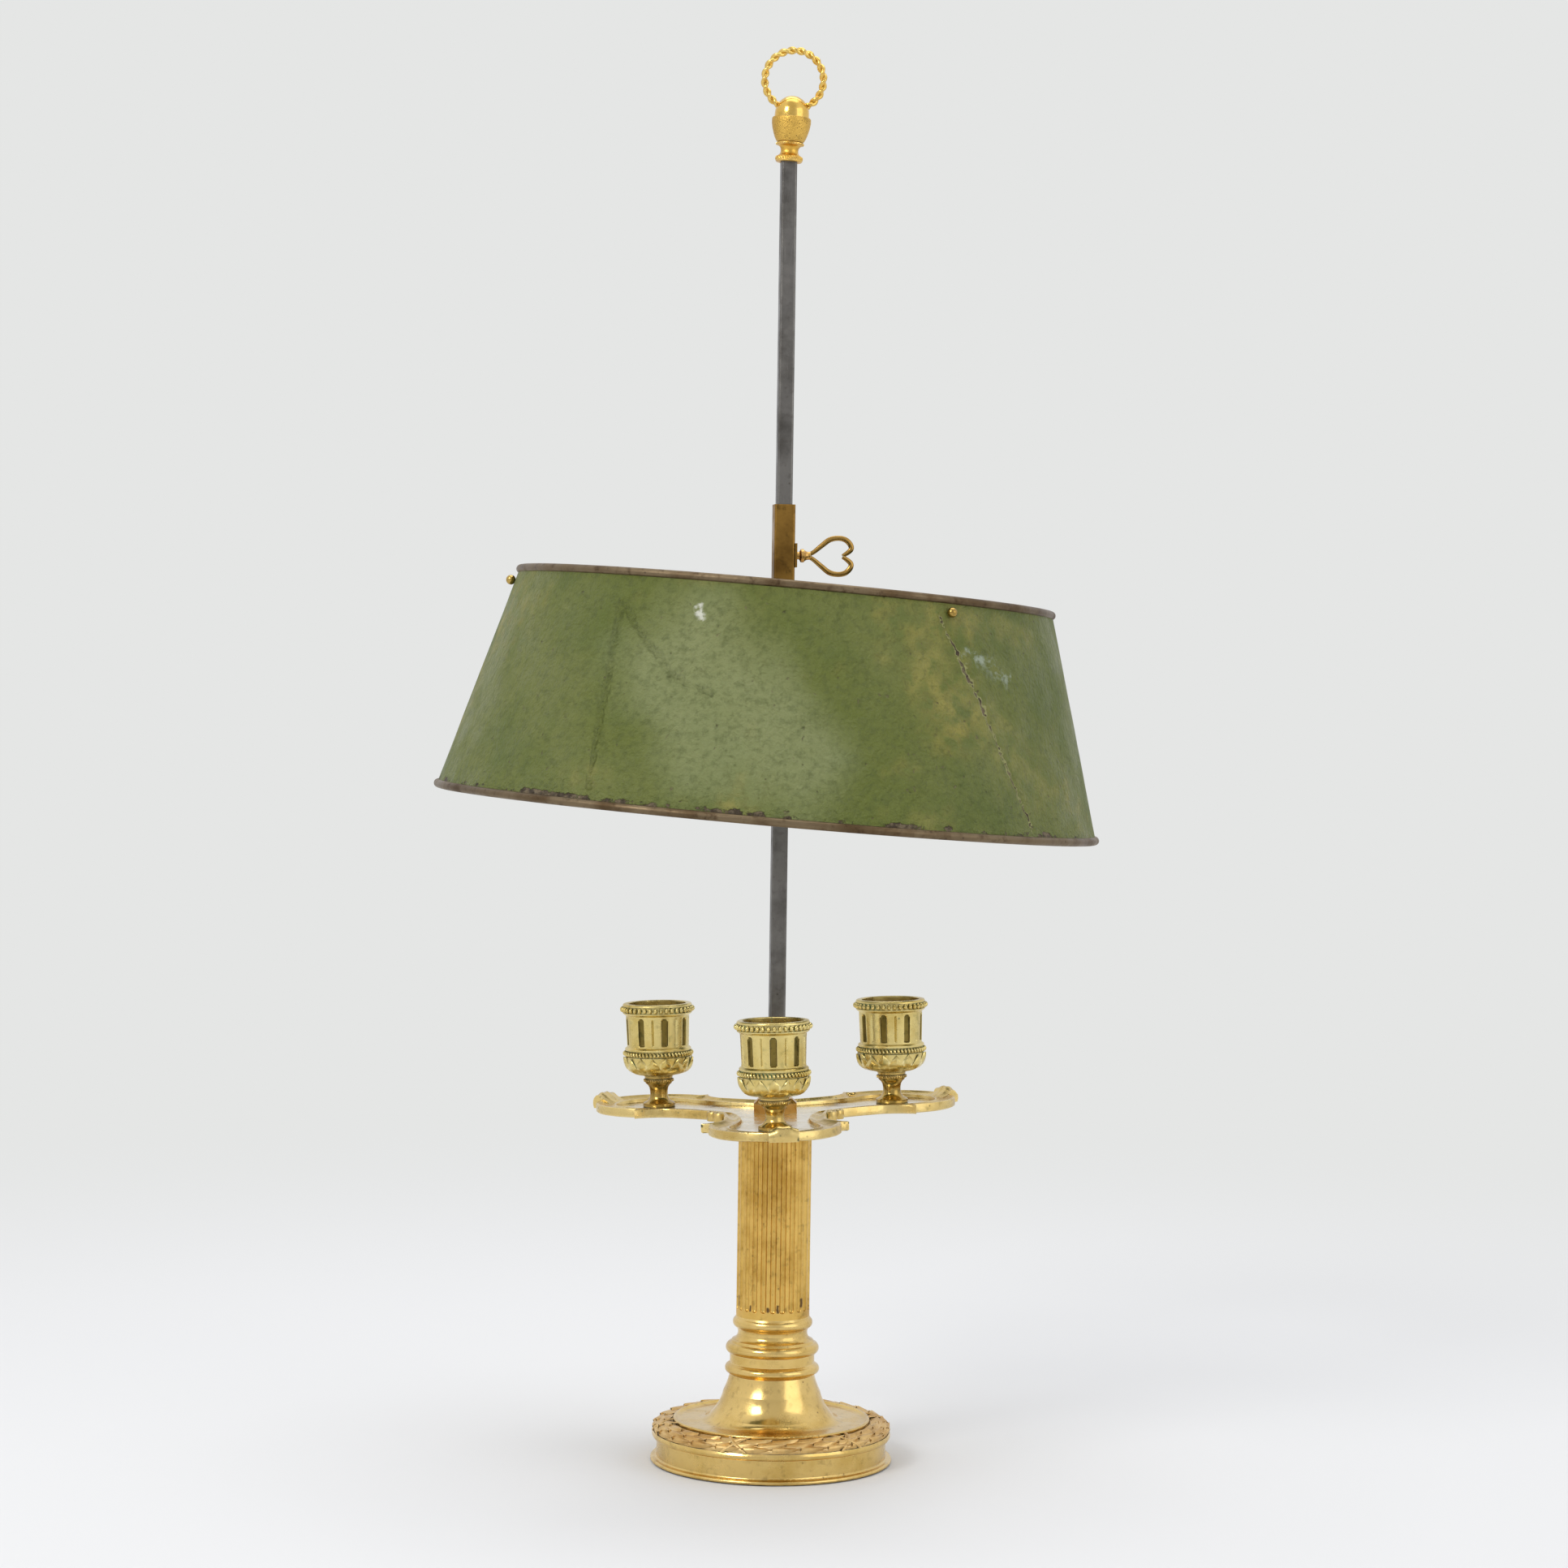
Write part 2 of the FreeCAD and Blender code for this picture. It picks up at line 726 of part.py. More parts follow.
def heart_face(inset):
    """Heart with its point toward the rod, drawn in the XZ plane."""
    tip = boss_face + heart_tip
    centre = boss_face + heart_end - heart_lobe_radius
    rise = heart_half_height - heart_lobe_radius
    distance = math.hypot(centre - tip, rise)
    slope = math.atan2(rise, centre - tip) + math.asin(heart_lobe_radius / distance)
    radius = heart_lobe_radius - inset
    point = tip + inset / math.sin(slope)
    up = V(-math.sin(slope), 0, math.cos(slope)) * radius
    upper = V(centre, 0, rise)
    lower = V(centre, 0, -rise)
    down = V(up.x, 0, -up.z)
    wedge = Part.Face(Part.makePolygon(
        [V(point, 0, 0), upper + up, upper, lower, lower + down, V(point, 0, 0)]))
    discs = [Part.Face(Part.Wire(Part.makeCircle(radius, c, V(0, 1, 0)))) for c in (upper, lower)]
    return wedge.fuse(discs).removeSplitter()


def heart_solid(bar, thickness):
    outer = heart_face(0.0).extrude(V(0, thickness, 0))
    inner = heart_face(bar).extrude(V(0, thickness, 0))
    heart = outer.cut(inner)
    heart.translate(V(0, -thickness / 2, 0))
    return heart.removeSplitter()


# Shade
def shade_place(shape):
    moved = shape.copy()
    moved.rotate(ORIGIN, V(1, 0, 0), -shade_front_up)
    moved.rotate(ORIGIN, V(0, 1, 0), shade_lean)
    moved.translate(V(0, 0, shade_pivot))
    return moved


def wall_radius(height):
    return shade_top_radius + (shade_top - height) * math.tan(math.radians(shade_angle))


def on_wall(shape):
    """Carry a shape built with +X along the wall's outward normal to the screw's place."""
    moved = shape.copy()
    moved.rotate(ORIGIN, V(0, 1, 0), -shade_angle)
    height = shade_top - shade_screw_drop
    moved.translate(V(wall_radius(height), 0, height))
    return moved


def cone_solid(offset):
    shift = offset / math.cos(math.radians(shade_angle))
    return Part.makeCone(shade_bottom_radius + shift, shade_top_radius + shift,
                         shade_top - shade_bottom, V(0, 0, shade_bottom))


def make_shade():
    half = shade_sheet_thickness / 2
    sheet = cone_solid(half).cut(cone_solid(-half))
    rims = {"top": (shade_top_radius, shade_top), "bottom": (shade_bottom_radius, shade_bottom)}
    bead_bore = bead_radius - bead_wall
    for name, (radius, height) in rims.items():
        centre = V(0, 0, height)
        sheet = sheet.cut(Part.makeTorus(radius, bead_radius + seat_gap, centre))
        bead = Part.makeTorus(radius, bead_radius, centre).cut(Part.makeTorus(radius, bead_bore, centre))
        wire = Part.makeTorus(radius, bead_bore - running_fit, centre)
        save(shade_place(bead), "shade_" + name + "_bead")
        save(shade_place(wire), "shade_" + name + "_wire")
    hole = on_wall(rod_along_x(shade_screw_radius + running_fit, -3, 3))
    for azimuth in arm_azimuths.values():
        sheet = sheet.cut(spun(hole, azimuth))
    solid = max(sheet.Solids, key=lambda s: s.Volume)
    save(shade_place(solid), "shade_sheet")


def strip(start, end):
    """Flat bar of the arm's section between two points of the XZ plane."""
    run = end - start
    length = run.Length
    bar = Part.makeBox(length, arm_width, arm_thickness, V(0, -arm_width / 2, -arm_thickness / 2))
    bar.rotate(ORIGIN, V(0, 1, 0), -math.degrees(math.atan2(run.z, run.x)))
    bar.translate(start)
    return bar


def make_spider():
    half = shade_sheet_thickness / 2
    hub_turn = arm_azimuths["front"]
    hub = prism(6, hub_across, hub_height, -hub_height / 2, hub_turn)
    tab_face = -half - tab_gap
    tab = Part.makeBox(arm_thickness, arm_width, tab_up + tab_down,
                       V(tab_face - arm_thickness, -arm_width / 2, -tab_down))
    elbow = Part.makeSphere(0.01, V(tab_face - arm_thickness / 2, 0, arm_thickness / 2 - tab_down))
    target = on_wall(elbow).BoundBox.Center
    arm = on_wall(tab).fuse(strip(V(0, 0, 0), target))
    arm = arm.cut(prism(6, hub_across, 4 * hub_height, -2 * hub_height, 0))
    arm = arm.cut(on_wall(rod_along_x(shade_screw_radius + running_fit, -6, 3))).removeSplitter()
    arm = max(arm.Solids, key=lambda s: s.Volume)
    for name, azimuth in arm_azimuths.items():
        save(shade_place(spun(arm, azimuth)), "spider_arm_" + name)
    sleeve_hole = square_bar(2 * half_sleeve + 2 * running_fit, 40, shade_pivot - 20)
    save(shade_place(hub).cut(sleeve_hole), "spider_hub")
    ball = Part.makeSphere(ball_radius, V(half + ball_centre, 0, 0))
    seat = half + seat_gap
    ball = ball.cut(Part.makeBox(8, 8, 8, V(seat - 8, -4, -4)))
    nut_face = tab_face - arm_thickness - seat_gap
    shank = rod_along_x(shade_screw_radius, nut_face - screw_nut_height - screw_tail, seat)
    screw = on_wall(ball.fuse(shank))
    nut = prism(6, screw_nut_across, screw_nut_height)
    nut = nut.cut(cylinder(shade_screw_radius + running_fit, screw_nut_height))
    nut.rotate(ORIGIN, V(0, 1, 0), -90)
    nut.translate(V(nut_face, 0, 0))
    nut = on_wall(nut)
    azimuths = arm_azimuths.values()
    save(Part.makeCompound([shade_place(spun(screw, a)) for a in azimuths]), "shade_screws")
    save(Part.makeCompound([shade_place(spun(nut, a)) for a in azimuths]), "screw_nuts")


make_base()
make_foot_cone()
make_socle()
make_column()
make_tray()
make_cups()
make_rod()
make_finial()
make_sleeve()
make_boss()
make_screw()
make_shade()
make_spider()
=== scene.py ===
import math
import bpy
from mathutils import Matrix, Vector, noise


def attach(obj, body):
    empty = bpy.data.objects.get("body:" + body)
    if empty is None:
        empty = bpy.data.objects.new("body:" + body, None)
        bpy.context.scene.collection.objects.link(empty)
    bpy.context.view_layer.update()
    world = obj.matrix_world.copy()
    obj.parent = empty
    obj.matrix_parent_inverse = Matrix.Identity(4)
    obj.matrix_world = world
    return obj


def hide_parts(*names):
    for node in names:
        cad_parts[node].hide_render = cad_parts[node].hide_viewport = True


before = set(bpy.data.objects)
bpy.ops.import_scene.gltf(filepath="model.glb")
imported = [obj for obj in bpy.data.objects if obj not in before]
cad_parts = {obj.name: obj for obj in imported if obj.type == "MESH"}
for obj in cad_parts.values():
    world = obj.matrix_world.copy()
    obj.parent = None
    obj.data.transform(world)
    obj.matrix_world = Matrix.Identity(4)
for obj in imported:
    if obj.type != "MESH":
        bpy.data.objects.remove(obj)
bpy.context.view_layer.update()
bpy.ops.object.select_all(action="DESELECT")
print("frame loaded:", len(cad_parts), "nodes")

mm = 0.001


# Finishes
def srgb(red, green, blue):
    parts = [v / 255 for v in (red, green, blue)]
    parts = [v / 12.92 if v <= 0.04045 else ((v + 0.055) / 1.055) ** 2.4 for v in parts]
    return (*parts, 1.0)


# Sockets given for some inputs are linked, other values are set on the sockets
def fillInputs(tree, node, inputs):
    for label, value in inputs.items():
        if isinstance(value, bpy.types.NodeSocket):
            tree.links.new(value, node.inputs[label])
        else:
            node.inputs[label].default_value = value
    return node


def addNode(tree, kind, inputs=None, **settings):
    node = tree.nodes.new("ShaderNode" + kind)
    for label, value in settings.items():
        setattr(node, label, value)
    return fillInputs(tree, node, inputs or {})


def placeGroup(tree, group, inputs):
    node = tree.nodes.new("ShaderNodeGroup")
    node.node_tree = group
    return fillInputs(tree, node, inputs).outputs[0]


def mathNode(tree, operation, *values):
    return addNode(tree, "Math", dict(enumerate(values)), operation=operation).outputs[0]


def times(tree, first, second):
    return mathNode(tree, "MULTIPLY", first, second)


def vectorNode(tree, operation, first, second):
    other = "Scale" if operation == "SCALE" else 1
    node = addNode(tree, "VectorMath", {0: first, other: second}, operation=operation)
    return node.outputs["Value" if operation in ("DOT_PRODUCT", "DISTANCE") else "Vector"]


def noiseNode(tree, place, scale, detail, roughness=0.5):
    node = addNode(tree, "TexNoise", {
        "Vector": place, "Scale": scale, "Detail": detail, "Roughness": roughness})
    return node.outputs[0]


def rampNode(tree, value, low, high, start=0.0, end=1.0):
    node = addNode(tree, "MapRange", {
        "Value": value, "From Min": low, "From Max": high, "To Min": start, "To Max": end},
        interpolation_type="SMOOTHSTEP")
    return node.outputs[0]


def mixColours(tree, factor, first, second):
    node = addNode(tree, "Mix", {0: factor, 6: first, 7: second}, data_type="RGBA")
    return node.outputs[2]


# Node group that makes one mask from object coordinates and some named values
def startGroup(name, values):
    group = bpy.data.node_groups.new(name, "ShaderNodeTree")
    group.interface.new_socket("Vector", in_out="INPUT", socket_type="NodeSocketVector")
    for label, value in values.items():
        kind = "Vector" if isinstance(value, tuple) else "Float"
        socket = group.interface.new_socket(label, in_out="INPUT", socket_type="NodeSocket" + kind)
        socket.default_value = value
    group.interface.new_socket("Mask", in_out="OUTPUT", socket_type="NodeSocketFloat")
    entry = group.nodes.new("NodeGroupInput")
    leave = group.nodes.new("NodeGroupOutput")
    return group, entry.outputs, leave.inputs["Mask"]


def makeCloudPatches():
    group, entry, leave = startGroup("cloud patches", {"Scale": 40.0, "Low": 0.4, "High": 0.6})
    cloud = noiseNode(group, entry["Vector"], entry["Scale"], 5.0, 0.62)
    group.links.new(rampNode(group, cloud, entry["Low"], entry["High"]), leave)
    return group


def makeFinePits():
    group, entry, leave = startGroup("fine pits", {"Scale": 500.0, "Size": 0.3, "Share": 0.3})
    cells = addNode(group, "TexVoronoi", {"Vector": entry["Vector"], "Scale": entry["Scale"]})
    spot = rampNode(group, cells.outputs["Distance"], entry["Size"], 0.0)
    draw = addNode(group, "SeparateColor", {"Color": cells.outputs["Color"]}).outputs[0]
    pick = mathNode(group, "LESS_THAN", draw, entry["Share"])
    group.links.new(times(group, spot, pick), leave)
    return group


def makeHairScratches():
    group, entry, leave = startGroup(
        "hair scratches", {"Stretch": (1.0, 1.0, 8.0), "Scale": 60.0, "Width": 0.02})
    drawn = vectorNode(group, "MULTIPLY", entry["Vector"], entry["Stretch"])
    lines = addNode(
        group, "TexVoronoi", {"Vector": drawn, "Scale": entry["Scale"]}, feature="DISTANCE_TO_EDGE")
    thin = rampNode(group, lines.outputs["Distance"], entry["Width"], 0.0)
    fade = rampNode(group, noiseNode(group, entry["Vector"], 90.0, 2.0), 0.5, 0.65)
    group.links.new(times(group, thin, fade), leave)
    return group


# Mask of dirt and painted shade in hollows: ambient occlusion darkens creases, recesses and the foot beside
# the floor, with noise added
def makeCreviceDirtAndShade():
    group, entry, leave = startGroup("crevice dirt", {"Reach": 0.002, "Low": 0.25, "High": 0.7})
    shade = addNode(group, "AmbientOcclusion", {"Distance": entry["Reach"]}, samples=6)
    hollow = mathNode(group, "SUBTRACT", 1.0, shade.outputs["AO"])
    uneven = mathNode(group, "MULTIPLY_ADD", noiseNode(group, entry["Vector"], 260.0, 4.0), 0.5, -0.25)
    grimeAndShade = mathNode(group, "ADD", hollow, uneven)
    group.links.new(rampNode(group, grimeAndShade, entry["Low"], entry["High"]), leave)
    return group


def makeEdgeRub():
    group, entry, leave = startGroup("edge rub", {"Reach": 0.0005, "Low": 0.01, "High": 0.1})
    worn = addNode(group, "Bevel", {"Radius": entry["Reach"]}, samples=4)
    flat = addNode(group, "NewGeometry")
    both = vectorNode(group, "DOT_PRODUCT", worn.outputs[0], flat.outputs["Normal"])
    bend = rampNode(group, mathNode(group, "SUBTRACT", 1.0, both), entry["Low"], entry["High"])
    share = rampNode(group, noiseNode(group, entry["Vector"], 300.0, 3.0), 0.3, 0.6)
    group.links.new(times(group, bend, share), leave)
    return group


# A stroke between two points, full within the inner part of its width
def makeLineMark():
    group, entry, leave = startGroup(
        "line mark", {"Start": (0.0, 0.0, 0.0), "End": (0.0, 0.0, 1.0), "Width": 0.001})
    run = vectorNode(group, "SUBTRACT", entry["End"], entry["Start"])
    here = vectorNode(group, "SUBTRACT", entry["Vector"], entry["Start"])
    along = vectorNode(group, "DOT_PRODUCT", here, run)
    whole = vectorNode(group, "DOT_PRODUCT", run, run)
    share = addNode(group, "Clamp", {"Value": mathNode(group, "DIVIDE", along, whole)}).outputs[0]
    gap = vectorNode(group, "DISTANCE", here, vectorNode(group, "SCALE", run, share))
    inner = times(group, entry["Width"], 0.3)
    group.links.new(rampNode(group, gap, entry["Width"], inner), leave)
    return group


cloudPatches = makeCloudPatches()
finePits = makeFinePits()
hairScratches = makeHairScratches()
creviceDirtAndShade = makeCreviceDirtAndShade()
edgeRub = makeEdgeRub()
lineMark = makeLineMark()


def patchesOn(tree, place, scale, low, high):
    return placeGroup(tree, cloudPatches, {"Vector": place, "Scale": scale, "Low": low, "High": high})


# A colour laid over a tone where the mask, or both masks, are full
def layColour(tree, tone, colour, mask, second=None):
    if second is not None:
        mask = times(tree, mask, second)
    return mixColours(tree, mask, tone, colour)


# Object coordinates pushed about by noise, so that a drawn edge wanders
def looseVector(tree, place, scale, reach):
    wobble = addNode(tree, "TexNoise", {"Vector": place, "Scale": scale, "Detail": 3.0})
    shift = vectorNode(tree, "SUBTRACT", wobble.outputs["Color"], (0.5, 0.5, 0.5))
    return vectorNode(tree, "ADD", place, vectorNode(tree, "SCALE", shift, reach))


# Strokes along a run of points, each stretch with its own width in mm
def runMask(tree, vector, points, widths, mask=None):
    for start, end, width in zip(points, points[1:], widths):
        mark = placeGroup(tree, lineMark, {"Vector": vector, "Start": start, "End": end, "Width": width * mm})
        mask = mark if mask is None else mathNode(tree, "MAXIMUM", mask, mark)
    return mask


def newMaterial(name):
    material = bpy.data.materials.new(name)
    material.use_nodes = True
    tree = material.node_tree
    shader = tree.nodes["Principled BSDF"]
    place = tree.nodes.new("ShaderNodeTexCoord").outputs["Object"]
    return material, tree, shader, place


def addBump(tree, shader, height, strength, distance):
    bump = addNode(tree, "Bump", {"Height": height, "Strength": strength, "Distance": distance})
    tree.links.new(bump.outputs[0], shader.inputs["Normal"])


# Metal whose tone, gloss, crevice dirt with painted shade, and rubbed edges come from one row of values
def agedMetal(name, look):
    material, tree, shader, place = newMaterial(name)
    scale = look["patchScale"]
    clouds = patchesOn(tree, place, scale, look["patchLow"], look["patchHigh"])
    tone = mixColours(tree, clouds, look["base"], look["patch"])
    flecks = patchesOn(tree, place, scale * 7, 0.52, 0.75)
    tone = layColour(tree, tone, look["dirtAndShade"], flecks, look["fleck"])
    rubbed = placeGroup(tree, edgeRub, {"Vector": place, "Reach": look["edgeReach"]})
    tone = layColour(tree, tone, look["edge"], rubbed, look["edgeShare"])
    pits = placeGroup(tree, finePits, {
        "Vector": place, "Scale": look["pitScale"], "Size": 0.32, "Share": look["pitShare"]})
    # crevice mask from ambient occlusion: dirt and verdigris in the hollows, and painted shade there and by
    # the floor
    dirtAndShade = placeGroup(tree, creviceDirtAndShade, {
        "Vector": place, "Reach": look["creviceReach"], "Low": look["creviceLow"], "High": look["creviceHigh"]})
    grimeAndShade = mathNode(tree, "MAXIMUM", dirtAndShade, times(tree, pits, 0.8))
    green = patchesOn(tree, place, 120.0, look["greenLow"], look["greenLow"] + 0.08)
    soilAndShade = mixColours(tree, green, look["dirtAndShade"], look["green"])
    if look["marks"]:
        loose = looseVector(tree, place, 300.0, 0.002)
        for start, end, width in look["marks"]:
            grimeAndShade = runMask(tree, loose, [Vector(start) * mm, Vector(end) * mm], [width], grimeAndShade)
    tree.links.new(mixColours(tree, grimeAndShade, tone, soilAndShade), shader.inputs["Base Color"])
    tree.links.new(rampNode(tree, grimeAndShade, 0.0, 1.0, 1.0, 0.25), shader.inputs["Metallic"])
    smears = patchesOn(tree, place, scale * 2.3, 0.35, 0.7)
    gloss = rampNode(tree, smears, 0.0, 1.0, look["roughLow"], look["roughHigh"])
    tree.links.new(mathNode(tree, "MULTIPLY_ADD", grimeAndShade, 0.35, gloss), shader.inputs["Roughness"])
    scratches = placeGroup(tree, hairScratches, {
        "Vector": place, "Stretch": look["scratchStretch"], "Scale": 55.0, "Width": 0.03})
    grain = noiseNode(tree, place, look["grainScale"], 3.0)
    height = times(tree, grain, look["grainDepth"])
    height = mathNode(tree, "MULTIPLY_ADD", pits, -look["grainDepth"], height)
    height = mathNode(tree, "MULTIPLY_ADD", scratches, -look["scratchDepth"], height)
    addBump(tree, shader, height, look["bump"], mm)
    return material


# Values that every metal starts from; marks are (start, end, width) in mm
plainMetal = {
    "base": srgb(224, 192, 120), "patch": srgb(206, 172, 96), "edge": srgb(248, 230, 172),
    "dirtAndShade": srgb(84, 64, 30), "patchScale": 38.0, "patchLow": 0.42, "patchHigh": 0.68, "fleck": 0.35,
    "edgeReach": 0.0005, "edgeShare": 0.7, "pitScale": 420.0, "pitShare": 0.05, "creviceReach": 0.0022,
    "creviceLow": 0.42, "creviceHigh": 0.85, "roughLow": 0.16, "roughHigh": 0.3, "scratchStretch": (1.0, 1.0, 8.0),
    "grainScale": 900.0, "grainDepth": 0.06, "scratchDepth": 0.1, "bump": 0.25, "green": srgb(104, 150, 118),
    "greenLow": 0.9, "marks": (),
}
metalLooks = {
    "polished brass": {},
    "laurel gilt": {
        "base": srgb(224, 190, 126), "patch": srgb(200, 160, 96), "edge": srgb(246, 222, 168),
        "roughLow": 0.38, "roughHigh": 0.55, "grainDepth": 0.3, "creviceLow": 0.36, "creviceReach": 0.0018},
    # the column's crevice mask reaches further and starts lower, so its flutes are darkened with dirt and
    # painted shade
    "column gilt": {
        "base": srgb(222, 184, 100), "patch": srgb(192, 150, 68), "edge": srgb(244, 214, 138),
        "dirtAndShade": srgb(96, 68, 26), "roughLow": 0.32, "roughHigh": 0.46, "grainDepth": 0.3,
        "grainScale": 1500.0, "creviceReach": 0.003, "creviceLow": 0.24, "fleck": 0.5, "marks": (
            ((-11.9, -12.4, 113), (-11.5, -12.6, 104), 0.5), ((-11.5, -12.6, 104), (-11.9, -12.4, 96), 0.7),
            ((13.2, -10.8, 74), (13.2, -10.8, 76.5), 1.2), ((-15.6, -6.6, 73), (-15.6, -6.6, 77), 0.8),
            ((-10.4, -13.5, 71.8), (-10.4, -13.5, 73.6), 0.8), ((-2.2, -16.8, 71.8), (-2.2, -16.8, 73), 0.9),
            ((2.4, -16.8, 71.6), (2.4, -16.8, 74), 0.8))},
    "tray gilt": {
        "base": srgb(222, 196, 128), "patch": srgb(198, 166, 94), "edge": srgb(248, 230, 176),
        "dirtAndShade": srgb(80, 82, 44), "greenLow": 0.56, "marks": (
            ((-4.4, -94, 163.5), (-4.4, -96.5, 161.0), 1.5), ((10.6, -93, 163.5), (10.8, -96, 161.5), 1.4),
            ((60, 10.5, 166), (65, 9.4, 163.8), 1.3), ((66, 9.4, 163.8), (69, 9.9, 164.2), 0.9),
            ((-31.0, -54.5, 162.5), (-33.0, -56.5, 162), 1.0), ((33.0, -56.0, 164.5), (31, -54, 165), 0.9)),
        "roughLow": 0.22, "roughHigh": 0.42, "grainDepth": 0.2, "creviceLow": 0.34},
    # the pan's pale, near white tone is a painted reflection of the white around it, laid over its brass
    "pan brass with painted reflection": {
        "base": srgb(238, 228, 200), "patch": srgb(222, 206, 164), "edge": srgb(248, 240, 216),
        "creviceReach": 0.0025},
    "cup gilt": {
        "base": srgb(222, 202, 132), "patch": srgb(202, 176, 98), "edge": srgb(250, 236, 176),
        "dirtAndShade": srgb(72, 84, 44), "greenLow": 0.54, "roughLow": 0.24, "roughHigh": 0.4, "grainDepth": 0.15,
        "creviceLow": 0.3, "creviceHigh": 0.75, "creviceReach": 0.0016},
    "stem brass": {
        "base": srgb(198, 168, 96), "patch": srgb(160, 130, 66), "edge": srgb(236, 208, 140),
        "dirtAndShade": srgb(46, 58, 34), "greenLow": 0.6, "fleck": 0.6, "creviceLow": 0.3},
    "copper brass": {
        "base": srgb(206, 162, 92), "patch": srgb(178, 132, 66), "roughLow": 0.25, "roughHigh": 0.4},
    "sleeve brown": {
        "base": srgb(150, 114, 54), "patch": srgb(110, 80, 36), "edge": srgb(190, 150, 84),
        "dirtAndShade": srgb(48, 34, 18), "fleck": 0.6, "roughLow": 0.3, "roughHigh": 0.48},
    "rod steel": {
        "base": srgb(120, 117, 112), "patch": srgb(90, 87, 82), "edge": srgb(190, 186, 178),
        "dirtAndShade": srgb(58, 50, 42), "roughLow": 0.32, "roughHigh": 0.48, "scratchStretch": (6.0, 6.0, 0.6)},
    "finial gilt": {
        "base": srgb(226, 180, 82), "patch": srgb(198, 148, 60), "edge": srgb(252, 226, 150),
        "roughLow": 0.26, "roughHigh": 0.42, "creviceLow": 0.3},
    "dome gilt": {
        "base": srgb(236, 200, 112), "patch": srgb(222, 180, 88), "roughLow": 0.14, "roughHigh": 0.26},
    "stippled gilt": {
        "base": srgb(222, 182, 92), "patch": srgb(196, 156, 72), "roughLow": 0.4, "roughHigh": 0.52,
        "pitScale": 900.0, "pitShare": 0.5, "grainDepth": 0.6, "grainScale": 1300.0, "bump": 0.6},
    "niche patina": {
        "base": srgb(132, 114, 58), "patch": srgb(96, 84, 40), "edge": srgb(190, 164, 96),
        "dirtAndShade": srgb(52, 58, 30), "fleck": 0.8, "greenLow": 0.5, "creviceLow": 0.2, "creviceReach": 0.0016,
        "roughLow": 0.4, "roughHigh": 0.6, "grainDepth": 0.5},
    "key brass": {
        "base": srgb(172, 136, 72), "patch": srgb(138, 106, 50), "roughLow": 0.2, "roughHigh": 0.34},
    "rim rust": {
        "base": srgb(122, 106, 82), "patch": srgb(92, 74, 52), "edge": srgb(158, 138, 104),
        "dirtAndShade": srgb(58, 40, 26), "fleck": 0.7, "roughLow": 0.4, "roughHigh": 0.6, "grainDepth": 0.5},
    "black iron": {
        "base": srgb(70, 66, 62), "patch": srgb(52, 48, 44), "edge": srgb(112, 104, 96),
        "dirtAndShade": srgb(60, 40, 26), "roughLow": 0.42, "roughHigh": 0.6, "grainDepth": 0.4},
}
metals = {name: agedMetal(name, {**plainMetal, **look}) for name, look in metalLooks.items()}


def makeFelt():
    material, tree, shader, place = newMaterial("green felt")
    fibre = placeGroup(tree, hairScratches, {
        "Vector": place, "Stretch": (1.0, 1.0, 1.0), "Scale": 900.0, "Width": 0.2})
    tone = mixColours(tree, fibre, srgb(44, 74, 48), srgb(74, 102, 70))
    tree.links.new(tone, shader.inputs["Base Color"])
    addBump(tree, shader, fibre, 0.5, 0.0005)
    shader.inputs["Roughness"].default_value = 0.95
    return material


felt = makeFelt()
print("finishes made:", len(metals))

nodeFinish = {
    "polished brass": ("base_drum", "foot_cone", "column_socle"),
    "black iron": ("clamp_plate", "base_washer", "base_nut"),
    "stem brass": ("stem_nuts", "shade_screws", "screw_nuts"),
    "column gilt": ("column_shaft",),
    "copper brass": ("rod_collar", "pressure_pad", "clamp_screw"),
    "rod steel": ("rod",),
    "sleeve brown": ("sleeve", "clamp_boss", "spider_hub", "spider_arm_front", "spider_arm_back",
                     "spider_arm_left"),
    "rim rust": ("shade_top_bead", "shade_top_wire", "shade_bottom_bead", "shade_bottom_wire"),
}
for finish, nodeNames in nodeFinish.items():
    for nodeName in nodeNames:
        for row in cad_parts[nodeName].material_slots:
            row.material = metals[finish]
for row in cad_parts["base_felt"].material_slots:
    row.material = felt


# Modelling helpers
def pickOnly(*shapes):
    bpy.ops.object.select_all(action="DESELECT")
    for shape in shapes:
        shape.select_set(True)
    bpy.context.view_layer.objects.active = shapes[0]


def settle(shape, matrix=None):
    if matrix is not None:
        shape.matrix_world = matrix @ shape.matrix_world
    pickOnly(shape)
    bpy.ops.object.transform_apply(location=True, rotation=True, scale=True)


def finishPiece(shape, name, material, body, nodes=(), angle=40.0):
    pickOnly(shape)
    bpy.ops.object.shade_smooth_by_angle(angle=math.radians(angle))
    shape.name = name
    shape.data.name = name
    if material is not None:
        shape.data.materials.clear()
        shape.data.materials.append(material)
    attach(shape, body)
    if nodes:
        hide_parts(*nodes)
    print("piece", name, len(shape.data.polygons), "faces")
    return shape


def tidyMesh(shape, weld=0.0):
    pickOnly(shape)
    bpy.ops.object.mode_set(mode="EDIT")
    bpy.ops.mesh.select_all(action="SELECT")
    if weld:
        bpy.ops.mesh.remove_doubles(threshold=weld)
    bpy.ops.mesh.normals_make_consistent(inside=False)
    bpy.ops.object.mode_set(mode="OBJECT")
    return shape


def thicken(shape, wall, offset):
    pickOnly(shape)
    thick = shape.modifiers.new("thick", "SOLIDIFY")
    thick.thickness = wall * mm
    thick.offset = offset
    bpy.ops.object.modifier_apply(modifier="thick")


